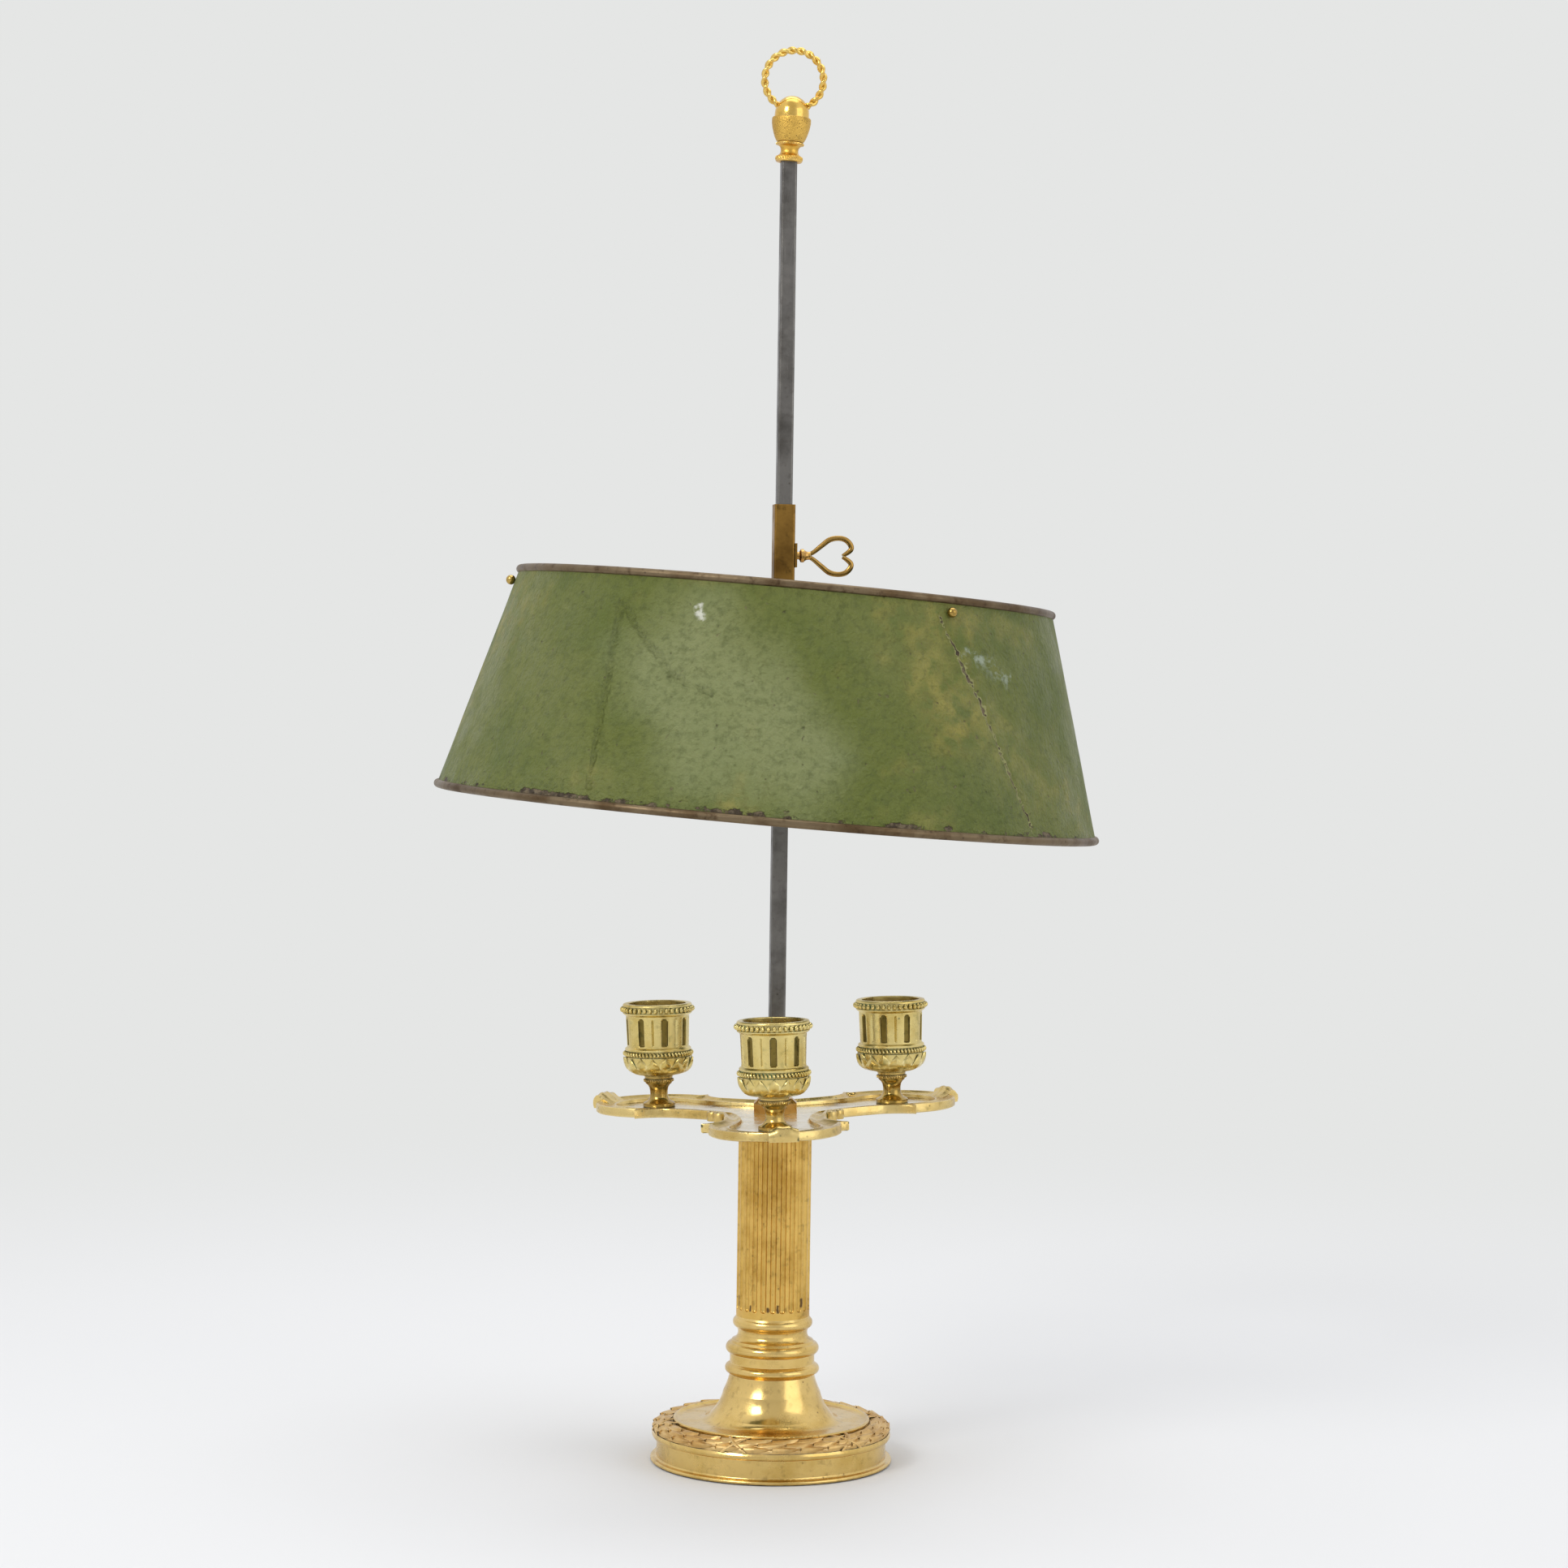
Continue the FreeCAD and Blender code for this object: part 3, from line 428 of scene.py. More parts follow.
# A turned shape: rings of (radius, height) in mm, extruded one from the other
def turnShape(rings, sides=96, capped=True):
    radius, height = rings[0]
    bpy.ops.mesh.primitive_circle_add(vertices=sides, radius=radius * mm, location=(0, 0, height * mm))
    shape = bpy.context.object
    bpy.ops.object.mode_set(mode="EDIT")
    bpy.ops.mesh.select_all(action="SELECT")
    for nextRadius, nextHeight in rings[1:]:
        bpy.ops.mesh.extrude_edges_move(TRANSFORM_OT_translate={"value": (0, 0, (nextHeight - height) * mm)})
        grow = nextRadius / radius
        bpy.ops.transform.resize(value=(grow, grow, 1), center_override=(0, 0, nextHeight * mm))
        radius, height = nextRadius, nextHeight
    bpy.ops.mesh.select_all(action="SELECT")
    bpy.ops.mesh.remove_doubles(threshold=1e-6)
    if capped:
        bpy.ops.mesh.fill_holes(sides=0)
    bpy.ops.mesh.select_all(action="SELECT")
    bpy.ops.mesh.normals_make_consistent(inside=False)
    bpy.ops.object.mode_set(mode="OBJECT")
    settle(shape)
    return shape


def copiesAround(shape, count, turn=0.0):
    copies = []
    for i in range(1, count):
        copy = shape.copy()
        copy.data = shape.data.copy()
        copy.matrix_world = Matrix.Rotation(2 * math.pi * i / count, 4, "Z") @ shape.matrix_world
        bpy.context.scene.collection.objects.link(copy)
        copies.append(copy)
    pickOnly(shape, *copies)
    bpy.ops.object.join()
    settle(shape, Matrix.Rotation(math.radians(turn), 4, "Z"))
    return shape


def joinShapes(shape, *others):
    pickOnly(shape, *others)
    bpy.ops.object.join()
    return shape


def meshCopy(shape):
    copy = shape.copy()
    copy.data = shape.data.copy()
    bpy.context.scene.collection.objects.link(copy)
    return copy


# A ring of beads: one small ball stretched, set at a radius, tilted along the ring and copied
def beadRing(radius, height, count, size, tilt=0.0, turn=0.0, segments=10, rows=6):
    bpy.ops.mesh.primitive_uv_sphere_add(segments=segments, ring_count=rows, radius=mm, location=(0, 0, 0))
    bead = bpy.context.object
    bead.scale = size
    settle(bead)
    bead.matrix_world = (Matrix.Translation((radius * mm, 0, height * mm))
                         @ Matrix.Rotation(math.radians(tilt), 4, "X"))
    return copiesAround(bead, count, turn)


# A leaf on a turned body: it narrows from pointFrom to its tip, surfaceAt gives (radius, height) for 0..1
pointFrom = 0.55


def leafOn(surfaceAt, halfWidth, bulge):
    bpy.ops.mesh.primitive_grid_add(x_subdivisions=6, y_subdivisions=8, size=1)
    leaf = bpy.context.object
    for vertex in leaf.data.vertices:
        across, along = vertex.co.x * 2, vertex.co.y + 0.5
        taper = 1 - max(0.0, (along - pointFrom) / (1 - pointFrom)) ** 1.7
        outline = max(0.0, taper) * (0.8 + 0.2 * math.sin(math.pi * along))
        radius, height = surfaceAt(along)
        angle = across * halfWidth * outline / max(radius, 1.0)
        rib = max(0.0, 1 - abs(across) * 3.2) * 0.35
        lift = bulge * ((1 - across ** 2) * 0.8 + rib) * (0.55 + 0.45 * along)
        reach = radius + lift
        vertex.co = (reach * math.cos(angle) * mm, reach * math.sin(angle) * mm, height * mm)
    thicken(leaf, 0.5, -1.0)
    return tidyMesh(leaf, 0.00002)


# Closed rings of points in mm joined into one skin
def skinRings(rings, closeFirst=False, closeLast=False):
    count = len(rings[0])
    points = [tuple(v * mm for v in p) for ring in rings for p in ring]
    faces = []
    for k in range(len(rings) - 1):
        for i in range(count):
            j = (i + 1) % count
            faces.append((k * count + i, k * count + j, (k + 1) * count + j, (k + 1) * count + i))
    if closeFirst:
        faces.append(tuple(reversed(range(count))))
    if closeLast:
        faces.append(tuple(range((len(rings) - 1) * count, len(rings) * count)))
    mesh = bpy.data.meshes.new("skin")
    mesh.from_pydata(points, [], faces)
    shape = bpy.data.objects.new("skin", mesh)
    bpy.context.scene.collection.objects.link(shape)
    return tidyMesh(shape)


# Laurel wreath on the foot ring: leaves and ties stand off the band, away from its core
wreath = {
    "inner": 45.75, "outer": 54.3, "floor": 13.9, "crown": 18.3, "core": Vector((46.5, 12.5)), "leaves": 26,
    "rows": ((0.06, 0.4), (0.33, 0.7), (0.6, 0.95)), "leafWall": 1.2, "leafLap": 1.55, "ties": 6,
    "tieTurn": 12.0, "tieSweep": 11.0, "tieReach": 50.3, "tieLift": 1.0, "tieRise": 0.32, "tieHalf": 1.0,
}


# Place on the quarter-round band, 0 at its inner edge by the dish and 1 at its outer edge
def wreathSurface(across, lift=0.0):
    angle = math.radians(90 * across)
    place = Vector((wreath["inner"] + (wreath["outer"] - wreath["inner"]) * math.sin(angle) ** 0.9,
                    wreath["floor"] + (wreath["crown"] - wreath["floor"]) * math.cos(angle) ** 0.8))
    return place + (place - wreath["core"]).normalized() * lift


def makeWreathLeaf(start, end):
    bpy.ops.mesh.primitive_grid_add(x_subdivisions=7, y_subdivisions=4, size=1)
    leaf = bpy.context.object
    sweep = 2 * math.pi / wreath["leaves"] * wreath["leafLap"]
    for vertex in leaf.data.vertices:
        along, across = vertex.co.x + 0.5, vertex.co.y * 2
        width = math.sin(math.pi * min(1.0, 0.16 + 0.84 * along)) ** 0.75
        rib = max(0.0, 1 - abs(across) * 2.5) * 0.28
        lift = 0.1 + 0.55 * along + 0.95 * (1 - across ** 2) * along ** 0.6 + rib * along
        r, z = wreathSurface((start + end) / 2 + across * width * (end - start) * 0.62, lift)
        vertex.co = (r * math.cos(along * sweep) * mm, r * math.sin(along * sweep) * mm, z * mm)
    thicken(leaf, wreath["leafWall"], 1.0 if leaf.data.polygons[0].normal.z < 0 else -1.0)
    return leaf


# One strand of the ribbon that crosses the wreath, leaning to one side
def makeTie(side, steps=16, sides=8):
    rings = []
    for i in range(steps + 1):
        lean = side * (i / steps - 0.5) * math.radians(wreath["tieSweep"])
        ring = []
        for k in range(sides):
            t = 2 * math.pi * k / sides
            r, z = wreathSurface(i / steps, wreath["tieLift"] + wreath["tieRise"] * math.sin(t))
            a = lean + wreath["tieHalf"] * math.cos(t) / wreath["tieReach"]
            ring.append((r * math.cos(a), r * math.sin(a), z))
        rings.append(ring)
    return skinRings(rings, True, True)


def makeWreath():
    heel = (wreath["inner"], wreath["floor"])
    pieces = [turnShape([heel] + [tuple(wreathSurface(i / 12)) for i in range(13)] + [heel], 144, False)]
    count = wreath["leaves"]
    for row, (start, end) in enumerate(wreath["rows"]):
        pieces.append(copiesAround(makeWreathLeaf(start, end), count, row * 180.0 / count))
    for side in (-1, 1):
        pieces.append(copiesAround(makeTie(side), wreath["ties"], wreath["tieTurn"]))
    finishPiece(joinShapes(*pieces), "laurel_wreath", metals["laurel gilt"], "stand", ("laurel_band",), 50.0)


makeWreath()


# Tray of three lobes, leaning as found; heights are above its base
tray = {
    "base": 159.8, "lean": 1.8, "cupReach": 63.5, "lobe": 29.7, "innerLobe": 21.2, "rim": 4.3, "pan": 1.8,
    "panFoot": 0.9, "volute": 3.1, "voluteReach": 31.2, "voluteTurn": 5.9,
}
lobeTurns = {"front": -90.0, "right": 30.0, "left": 150.0}
trayLean = (Matrix.Translation((0, 0, tray["base"] * mm))
            @ Matrix.Rotation(math.radians(-tray["lean"]), 4, "Y")
            @ Matrix.Translation((0, 0, -tray["base"] * mm)))


def atLobe(name):
    turn = math.radians(lobeTurns[name])
    reach = tray["cupReach"] * mm
    return trayLean @ Matrix.Translation((reach * math.cos(turn), reach * math.sin(turn), 0))


# Points of the arc that starts at first, passes middle and ends at last
def arcThrough(first, middle, last, steps):
    (ax, ay), (bx, by), (cx, cy) = first, middle, last
    d = 2 * (ax * (by - cy) + bx * (cy - ay) + cx * (ay - by))
    a2, b2, c2 = ax ** 2 + ay ** 2, bx ** 2 + by ** 2, cx ** 2 + cy ** 2
    ux = (a2 * (by - cy) + b2 * (cy - ay) + c2 * (ay - by)) / d
    uy = (a2 * (cx - bx) + b2 * (ax - cx) + c2 * (bx - ax)) / d
    radius = math.hypot(ax - ux, ay - uy)
    start, mid, end = (math.atan2(y - uy, x - ux) for x, y in (first, middle, last))
    while mid < start:
        mid += 2 * math.pi
    while end < start:
        end += 2 * math.pi
    if mid > end:
        end -= 2 * math.pi
    return [(ux + radius * math.cos(start + (end - start) * i / steps),
             uy + radius * math.sin(start + (end - start) * i / steps)) for i in range(steps + 1)]


def lobeArc(radius, end, steps):
    return [(tray["cupReach"] + radius * math.cos(end * i / steps), radius * math.sin(end * i / steps))
            for i in range(steps + 1)]


# Half of one lobe from its tip to the throat, as (reach, half) pairs; both runs have as many points
def halfLobes():
    outer = lobeArc(tray["lobe"], math.radians(99.9), 30)[:-1]
    outer += [(58.4 + (56.3 - 58.4) * i / 4, 29.26 + (33.2 - 29.26) * i / 4) for i in range(4)]
    outer += arcThrough((56.3, 33.2), (50.5, 26.6), (44.0, 23.6), 10)[:-1]
    outer += arcThrough((44.0, 23.6), (30.0, 23.3), (14.1, 24.42), 16)
    inner = lobeArc(tray["innerLobe"], math.radians(100.9), 34)[:-1]
    inner += arcThrough((59.5, 20.82), (38.0, 16.5), (11.8, 20.44), 26)
    return outer, inner


def wholeOutline(half):
    points = []
    for turn in lobeTurns.values():
        a = math.radians(turn)
        lower = [(r, -h) for r, h in reversed(half)]
        for r, h in lower[:-1] + half[:-1]:
            points.append((r * math.cos(a) - h * math.sin(a), r * math.sin(a) + h * math.cos(a)))
    return points


def insetOutline(points, depth):
    moved = []
    for i, (x, y) in enumerate(points):
        px, py = points[i - 1]
        nx, ny = points[(i + 1) % len(points)]
        tx, ty = nx - px, ny - py
        size = math.hypot(tx, ty) or 1.0
        moved.append((x - ty / size * depth, y + tx / size * depth))
    return moved


# A button scroll on each horn between two lobes
def makeVolute(turn):
    r, a = tray["volute"], math.radians(turn)
    scroll = turnShape([
        (r - 0.3, 0.0), (r, 0.4), (r, 3.7), (r - 0.35, 4.25), (r - 0.9, tray["rim"]), (r - 1.2, 3.85),
        (1.3, 3.85), (1.1, 4.35), (0.5, 4.5)], 32)
    x, y = tray["voluteReach"] * math.cos(a) * mm, tray["voluteReach"] * math.sin(a) * mm
    settle(scroll, trayLean @ Matrix.Translation((x, y, tray["base"] * mm)))
    return scroll


def makeTray():
    outer, inner = (wholeOutline(half) for half in halfLobes())
    hollowStart = insetOutline(outer, 1.7)

    def level(points, height):
        return [(x, y, tray["base"] + height) for x, y in points]

    def rim(inset, height):
        return level(insetOutline(outer, inset), height)

    def lip(inset, height):
        return level(insetOutline(inner, inset), height)

    def between(share, height):
        pairs = zip(hollowStart, inner)
        return level([(x + (u - x) * share, y + (v - y) * share) for (x, y), (u, v) in pairs], height)

    border = skinRings([
        rim(0.7, 0.0), rim(0.0, 0.5), rim(0.0, 3.7), rim(0.25, 4.15), rim(0.8, tray["rim"]), rim(1.35, 4.2),
        between(0.0, 3.9), between(0.18, 3.25), between(0.4, 2.85), between(0.62, 2.75), between(0.82, 2.95),
        between(0.95, 3.3), lip(0.0, 3.5), lip(0.45, 3.55), lip(0.9, 3.35), lip(1.15, 2.6), lip(1.3, 1.95),
        lip(1.9, tray["pan"]), lip(1.9, tray["panFoot"]), rim(0.7, 0.0)])
    pan = skinRings([lip(1.85, tray["panFoot"]), lip(1.85, tray["pan"] - 0.02)], True, True)
    settle(border, trayLean)
    settle(pan, trayLean)
    pieces = [border]
    for turn in lobeTurns.values():
        for side in (-1, 1):
            pieces.append(makeVolute(turn + side * (60 - tray["voluteTurn"])))
    finishPiece(pan, "tray_pan", metals["pan brass with painted reflection"], "stand", ("tray",))
    finishPiece(joinShapes(*pieces), "tray_border", metals["tray gilt"], "stand", ("tray",), 45.0)


makeTray()


# Leaf clasps at the lobe tips: (reach, height) around the section, from the cup's axis
clasp = {"half": 6.6, "height": 7.4, "columns": 12, "ripple": 0.25, "rimFrom": 28.0, "rimBack": 0.5}
wedgeRun = [(22.0, 2.0), (24.4, 3.6), (27.5, 5.6), (29.6, 7.0), (30.6, 7.4), (31.6, 7.1), (32.8, 5.8),
            (33.3, 4.4), (33.4, 2.4), (33.0, 0.4), (30.0, 0.0), (22.4, 1.2)]
rolledRun = [(22.0, 2.0), (24.4, 3.5), (27.0, 4.6), (28.2, 5.6), (28.6, 6.6), (29.4, 7.3), (30.6, 7.4),
             (31.6, 6.9), (32.2, 6.0), (33.2, 4.6), (33.4, 2.4), (33.0, 0.4), (30.0, 0.0), (22.4, 1.2)]


def makeClasp(name, run, bulge, shift=0.0):
    rings = []
    for i in range(clasp["columns"] + 1):
        across = -1 + 2 * i / clasp["columns"]
        drop = bulge * across ** 2 + clasp["ripple"] * math.cos(across * math.pi * 3)
        ring = []
        for reach, height in run:
            tall = height - drop * max(0.0, height - 1.0) / clasp["height"]
            back = clasp["rimBack"] * across ** 2 if reach > clasp["rimFrom"] else 0.0
            ring.append((tray["cupReach"] + reach - back, across * clasp["half"], tray["base"] + tall))
        rings.append(ring)
    shape = skinRings(rings, True, True)
    settle(shape, trayLean @ Matrix.Rotation(math.radians(lobeTurns[name] + shift), 4, "Z"))
    finishPiece(shape, "clasp_" + name, metals["tray gilt"], "stand", ("tray",), 50.0)


makeClasp("left", wedgeRun, 1.2)
makeClasp("right", rolledRun, 1.8)
makeClasp("front", rolledRun, 2.2, 2.4)


# Stems and candle cups; a hollow is (width, foot, head, depth)
cup = {
    "base": 176.4, "niches": 8, "niche": (3.3, 14.7, 27.9, 0.82), "groove": (1.1, 14.9, 27.6, 0.6),
    "wallFoot": 14.2, "wallRise": 14.4, "wallRadius": 14.5, "wallFlare": 0.45, "beads": 40, "ropeBeads": 56,
    "leaves": 16,
}
bowlRun = [(8.2, 0.8), (10.4, 1.2), (12.6, 1.9), (14.2, 3.0), (15.2, 4.4), (15.7, 6.0), (15.9, 7.6),
           (15.9, 9.2)]


def bowlAt(along):
    place = min(along, 0.9999) * (len(bowlRun) - 1)
    (r1, z1), (r2, z2) = bowlRun[int(place):int(place) + 2]
    share = place - int(place)
    return r1 + (r2 - r1) * share - 0.35, z1 + (z2 - z1) * share


def cupWall(height):
    return cup["wallRadius"] + cup["wallFlare"] * (height - cup["wallFoot"]) / cup["wallRise"]


# Depth of an upright hollow with a round head, from its middle line
def hollowDepth(across, height, hollow):
    width, foot, head, depth = hollow
    half = width / 2
    crown = head - half
    away = math.hypot(across, max(0.0, height - crown)) if height > crown else abs(across)
    inside = min((half - away) / 0.35, (height - foot) / 0.35)
    return depth * max(0.0, min(1.0, inside))


# Reach and height of a place on the cup, and how far round it is from a niche and from a groove
def onCup(place):
    reach = math.hypot(place.x, place.y) / mm
    turn = math.degrees(math.atan2(place.y, place.x)) + 90
    step = 360 / cup["niches"]
    wide = math.radians((turn + step / 2) % step - step / 2) * reach
    narrow = math.radians(turn % step - step / 2) * reach
    return reach, place.z / mm, wide, narrow


def makeCup():
    heights = [cup["wallFoot"] + cup["wallRise"] * i / 40 for i in range(41)]
    body = turnShape([
        (7.2, 0.0), (7.4, 0.2), (7.4, 0.6), (9.6, 0.75), (11.6, 1.2), (13.2, 1.95), (14.4, 3.0), (15.0, 4.2),
        (15.3, 5.6), (15.35, 9.2), (15.0, 9.5), (15.1, 12.1), (15.55, 12.3), (15.6, 13.1), (15.2, 13.5),
        (14.5, 13.9)] + [(cupWall(z), z) for z in heights] + [(15.3, 28.9), (15.9, 29.3), (16.3, 29.7),
        (16.3, 30.1), (16.0, 30.4), (16.1, 31.6), (16.0, 32.9), (16.3, 33.1), (16.3, 33.7), (16.0, 34.15),
        (15.6, 34.3), (14.0, 34.3), (13.6, 34.0), (13.6, 9.6), (0.4, 9.6)], 288)
    for vertex in body.data.vertices:
        reach, height, wide, narrow = onCup(vertex.co)
        if reach < 14.2 or not 14.0 < height < 28.7:
            continue
        depth = max(hollowDepth(wide, height, cup["niche"]), hollowDepth(narrow, height, cup["groove"]))
        vertex.co.x *= (reach - depth) / reach
        vertex.co.y *= (reach - depth) / reach
    low = copiesAround(leafOn(bowlAt, 3.6, 0.75), cup["leaves"] // 2)
    high = copiesAround(leafOn(lambda along: (bowlAt(along)[0] + 0.25, bowlAt(along)[1] - 0.4), 3.4, 0.85),
                        cup["leaves"] // 2, 360.0 / cup["leaves"])
    beads = beadRing(16.45, 31.6, cup["beads"], (1.3, 1.0, 1.25), 0.0, 2.0)
    rope = beadRing(15.75, 10.8, cup["ropeBeads"], (0.95, 0.74, 1.2), 25.0, 0.0, 8, 6)
    whole = joinShapes(body, beads, rope, low, high)
    whole.data.materials.clear()
    for finish in ("cup gilt", "niche patina"):
        whole.data.materials.append(metals[finish])
    for face in whole.data.polygons:
        reach, height, wide, _ = onCup(face.center)
        hollow = abs(wide) < cup["niche"][0] / 2 and 13.65 < reach < cupWall(height) - 0.3
        face.material_index = int(hollow and 14.4 < height < 28.2)
    return whole


def makeStem():
    body = turnShape([
        (7.3, 0.0), (7.5, 0.3), (7.5, 1.8), (7.2, 2.1), (6.9, 2.3), (5.4, 3.0), (4.5, 4.2), (4.15, 5.8),
        (4.2, 7.6), (4.5, 9.2), (5.2, 10.4), (6.2, 11.2), (6.3, 11.6), (6.6, 11.9), (6.7, 12.6), (6.6, 13.3),
        (6.2, 13.5), (6.6, 13.7), (6.6, 14.6), (6.3, 14.8)], 64)
    knurl = beadRing(6.75, 12.6, 36, (0.55, 0.5, 0.75), 20.0, 0.0, 6, 4)
    return joinShapes(body, knurl)


cupShape = makeCup()
stemShape = makeStem()
for lobeName in lobeTurns:
    lobeTurn = Matrix.Rotation(math.radians(lobeTurns[lobeName] + 90), 4, "Z")
    one = meshCopy(cupShape)
    settle(one, atLobe(lobeName) @ Matrix.Translation((0, 0, cup["base"] * mm)) @ lobeTurn)
    finishPiece(one, "cup_" + lobeName, None, "stand", ("candle_cup_" + lobeName,), 38.0)
    one = meshCopy(stemShape)
    settle(one, atLobe(lobeName) @ Matrix.Translation((0, 0, (tray["base"] + tray["pan"]) * mm)) @ lobeTurn)
    finishPiece(one, "stem_" + lobeName, metals["stem brass"], "stand", ("cup_stem_" + lobeName,), 38.0)
bpy.data.objects.remove(cupShape)
bpy.data.objects.remove(stemShape)


# Finial in leaning coordinates: knurled foot, stippled acorn cup and bright dome
finial = {"base": 600.0, "lean": 3.0, "domeRadius": 7.9, "domeSpring": 22.0, "domeRise": 8.4}
finialPlace = (Matrix.Translation((0, 0, finial["base"] * mm))
               @ Matrix.Rotation(math.radians(finial["lean"]), 4, "Y"))


def finishFinial(shape, name, finish, node, angle):
    settle(shape, finialPlace)
    finishPiece(shape, name, metals[finish], "stand", (node,), angle)


def makeFinial():
    foot = turnShape([
        (5.8, 0.0), (6.1, 0.3), (6.2, 1.2), (6.0, 2.2), (5.3, 2.9), (4.6, 3.4), (4.15, 4.2), (4.05, 5.2),
        (4.2, 6.2), (4.7, 7.0), (5.4, 7.5), (6.0, 7.7), (6.25, 8.2), (6.1, 8.8), (5.6, 9.2)], 64)
    twist = beadRing(5.85, 1.5, 34, (0.55, 0.5, 1.2), 30.0, 0.0, 8, 6)
    knurl = beadRing(6.2, 8.2, 44, (0.4, 0.35, 0.5), 0.0, 0.0, 6, 4)
    finishFinial(joinShapes(foot, twist, knurl), "finial_knurled_foot", "finial gilt", "finial_foot", 38.0)
    acorn = turnShape([
        (4.6, 9.0), (6.0, 9.1), (6.5, 9.7), (7.3, 11.3), (8.0, 13.3), (8.6, 15.5), (8.95, 17.6), (9.0, 19.2),
        (8.9, 19.9), (8.6, 20.2), (8.1, 20.1), (8.0, 19.7), (4.0, 19.7)], 96)
    finishFinial(acorn, "finial_acorn_cup", "stippled gilt", "finial_cup", 45.0)
    rings = [(7.9, 19.8), (7.95, 20.8), (7.9, 22.0)]
    for degrees in range(6, 90, 6):
        a = math.radians(degrees)
        height = finial["domeSpring"] + finial["domeRise"] * math.sin(a)
        rings.append((finial["domeRadius"] * math.cos(a), height))
    dome = turnShape(rings + [(0.15, 30.4)], 96)
    finishFinial(dome, "finial_bright_dome", "dome gilt", "finial_dome", 45.0)


makeFinial()


# Ring twisted from two half-round strands
twistRing = {"centre": 37.7, "mean": 13.5, "strand": 1.08, "offset": 0.78, "halfTwists": 17, "halfOpen": 27.0}


def makeTwistRing():
    rings = []
    steps, sides = 170, 20
    for i in range(steps + 1):
        share = i / steps
        around = math.radians(twistRing["halfOpen"] + (360 - 2 * twistRing["halfOpen"]) * share - 90)
        twist = math.pi * twistRing["halfTwists"] * share
        ring = []
        for k in range(sides):
            a = 2 * math.pi * k / sides
            pinch = twistRing["strand"] ** 2 - (twistRing["offset"] * math.sin(a)) ** 2
            size = twistRing["offset"] * abs(math.cos(a)) + math.sqrt(pinch)
            out, side = size * math.cos(a + twist), size * math.sin(a + twist)
            reach = twistRing["mean"] + out
            ring.append((reach * math.cos(around), side, twistRing["centre"] + reach * math.sin(around)))
        rings.append(ring)
    finishFinial(skinRings(rings, True, True), "finial_twisted_ring", "dome gilt", "finial_ring", 60.0)


makeTwistRing()


# Heart-shaped key: a bar bent to a heart, its cusp turned in towards the screw.
# The line holds (reach, side, half width) from the shank round to the cusp.
heartKey = {
    "turn": 8.0, "height": 419.5, "face": 5.85, "thick": 1.05, "steps": 48, "sides": 16,
    "line": [(5.2, 0.2, 0.95), (8.2, 1.7, 1.0), (11.9, 4.7, 1.15), (15.6, 7.5, 1.25), (19.6, 8.35, 1.2),
             (23.0, 7.7, 1.25), (25.3, 5.6, 1.25), (25.8, 3.5, 1.2), (24.4, 1.9, 1.1), (21.8, 0.2, 0.85)],
}


# Point at a share of a smooth curve through the given points
def curvePoint(points, share):
    place = min(share, 0.99999) * (len(points) - 1)
    i = int(place)
    t = place - i
    rows = [points[max(0, min(len(points) - 1, i + k))] for k in (-1, 0, 1, 2)]
    return tuple(
        0.5 * (2 * b + (c - a) * t + (2 * a - 5 * b + 4 * c - d) * t * t + (3 * b - a - 3 * c + d) * t ** 3)
        for a, b, c, d in zip(*rows))


def makeHeartHalf(side):
    line, steps, sides = heartKey["line"], heartKey["steps"], heartKey["sides"]
    rings = []
    for i in range(steps + 1):
        u, v, half = curvePoint(line, i / steps)
        u0, v0, _ = curvePoint(line, max(0.0, i / steps - 0.01))
        u1, v1, _ = curvePoint(line, min(1.0, i / steps + 0.01))
        size = math.hypot(u1 - u0, v1 - v0)
        nu, nv = -(v1 - v0) / size, (u1 - u0) / size
        ring = []
        for k in range(sides):
            a = 2 * math.pi * k / sides
            across, deep = half * math.cos(a), heartKey["thick"] * math.sin(a)
            across *= 1 + 0.1 * abs(math.sin(2 * a))
            ring.append((heartKey["face"] + u + nu * across, deep, side * (v + nv * across)))
        rings.append(ring)
    return skinRings(rings, True, True)


def makeHeartKey():
    key = joinShapes(makeHeartHalf(1), makeHeartHalf(-1))
    settle(key, Matrix.Translation((0, 0, heartKey["height"] * mm))
           @ Matrix.Rotation(math.radians(heartKey["turn"]), 4, "Z"))
    finishPiece(key, "heart_bar", metals["key brass"], "clamp_key", ("heart_key",), 60.0)


makeHeartKey()


# Shade of painted sheet, dented along the marks seen on the real one; swells are (depth, scale)
shade = {
    "top": 20.0, "bottom": -81.0, "topRadius": 122.75, "bottomRadius": 151.8, "wall": 0.6, "pivot": 382.2,
    "lean": 4.27, "frontUp": 0.5, "columns": 360, "rows": 44, "edgeFade": 6.0,
    "swells": ((0.3, 20), (0.1, 70)),
}
shadePlace = (Matrix.Translation((0, 0, shade["pivot"] * mm))
              @ Matrix.Rotation(math.radians(shade["lean"]), 4, "Y")
              @ Matrix.Rotation(math.radians(-shade["frontUp"]), 4, "X"))
# runs of (turn, height) on the wall
longFold = [(-123.8, 7.0), (-122.6, -22.0), (-121.4, -52.0), (-120.6, -74.0)]
shortFold = [(-123.8, 7.0), (-115.5, -10.0), (-108.5, -24.0), (-101.5, -30.0)]
crackLine = [(-57.6, 12.0), (-55.2, 2.0), (-52.6, -9.0), (-51.4, -15.0), (-49.4, -22.0), (-48.6, -27.5),
             (-45.0, -47.0), (-42.6, -60.0), (-39.6, -76.5)]
# creases as runs with depth and width in mm; the crack's crease follows every other point
creases = [(longFold, -0.28, 1.5), (shortFold, -0.22, 1.5), (crackLine[::2], 0.35, 1.4)]


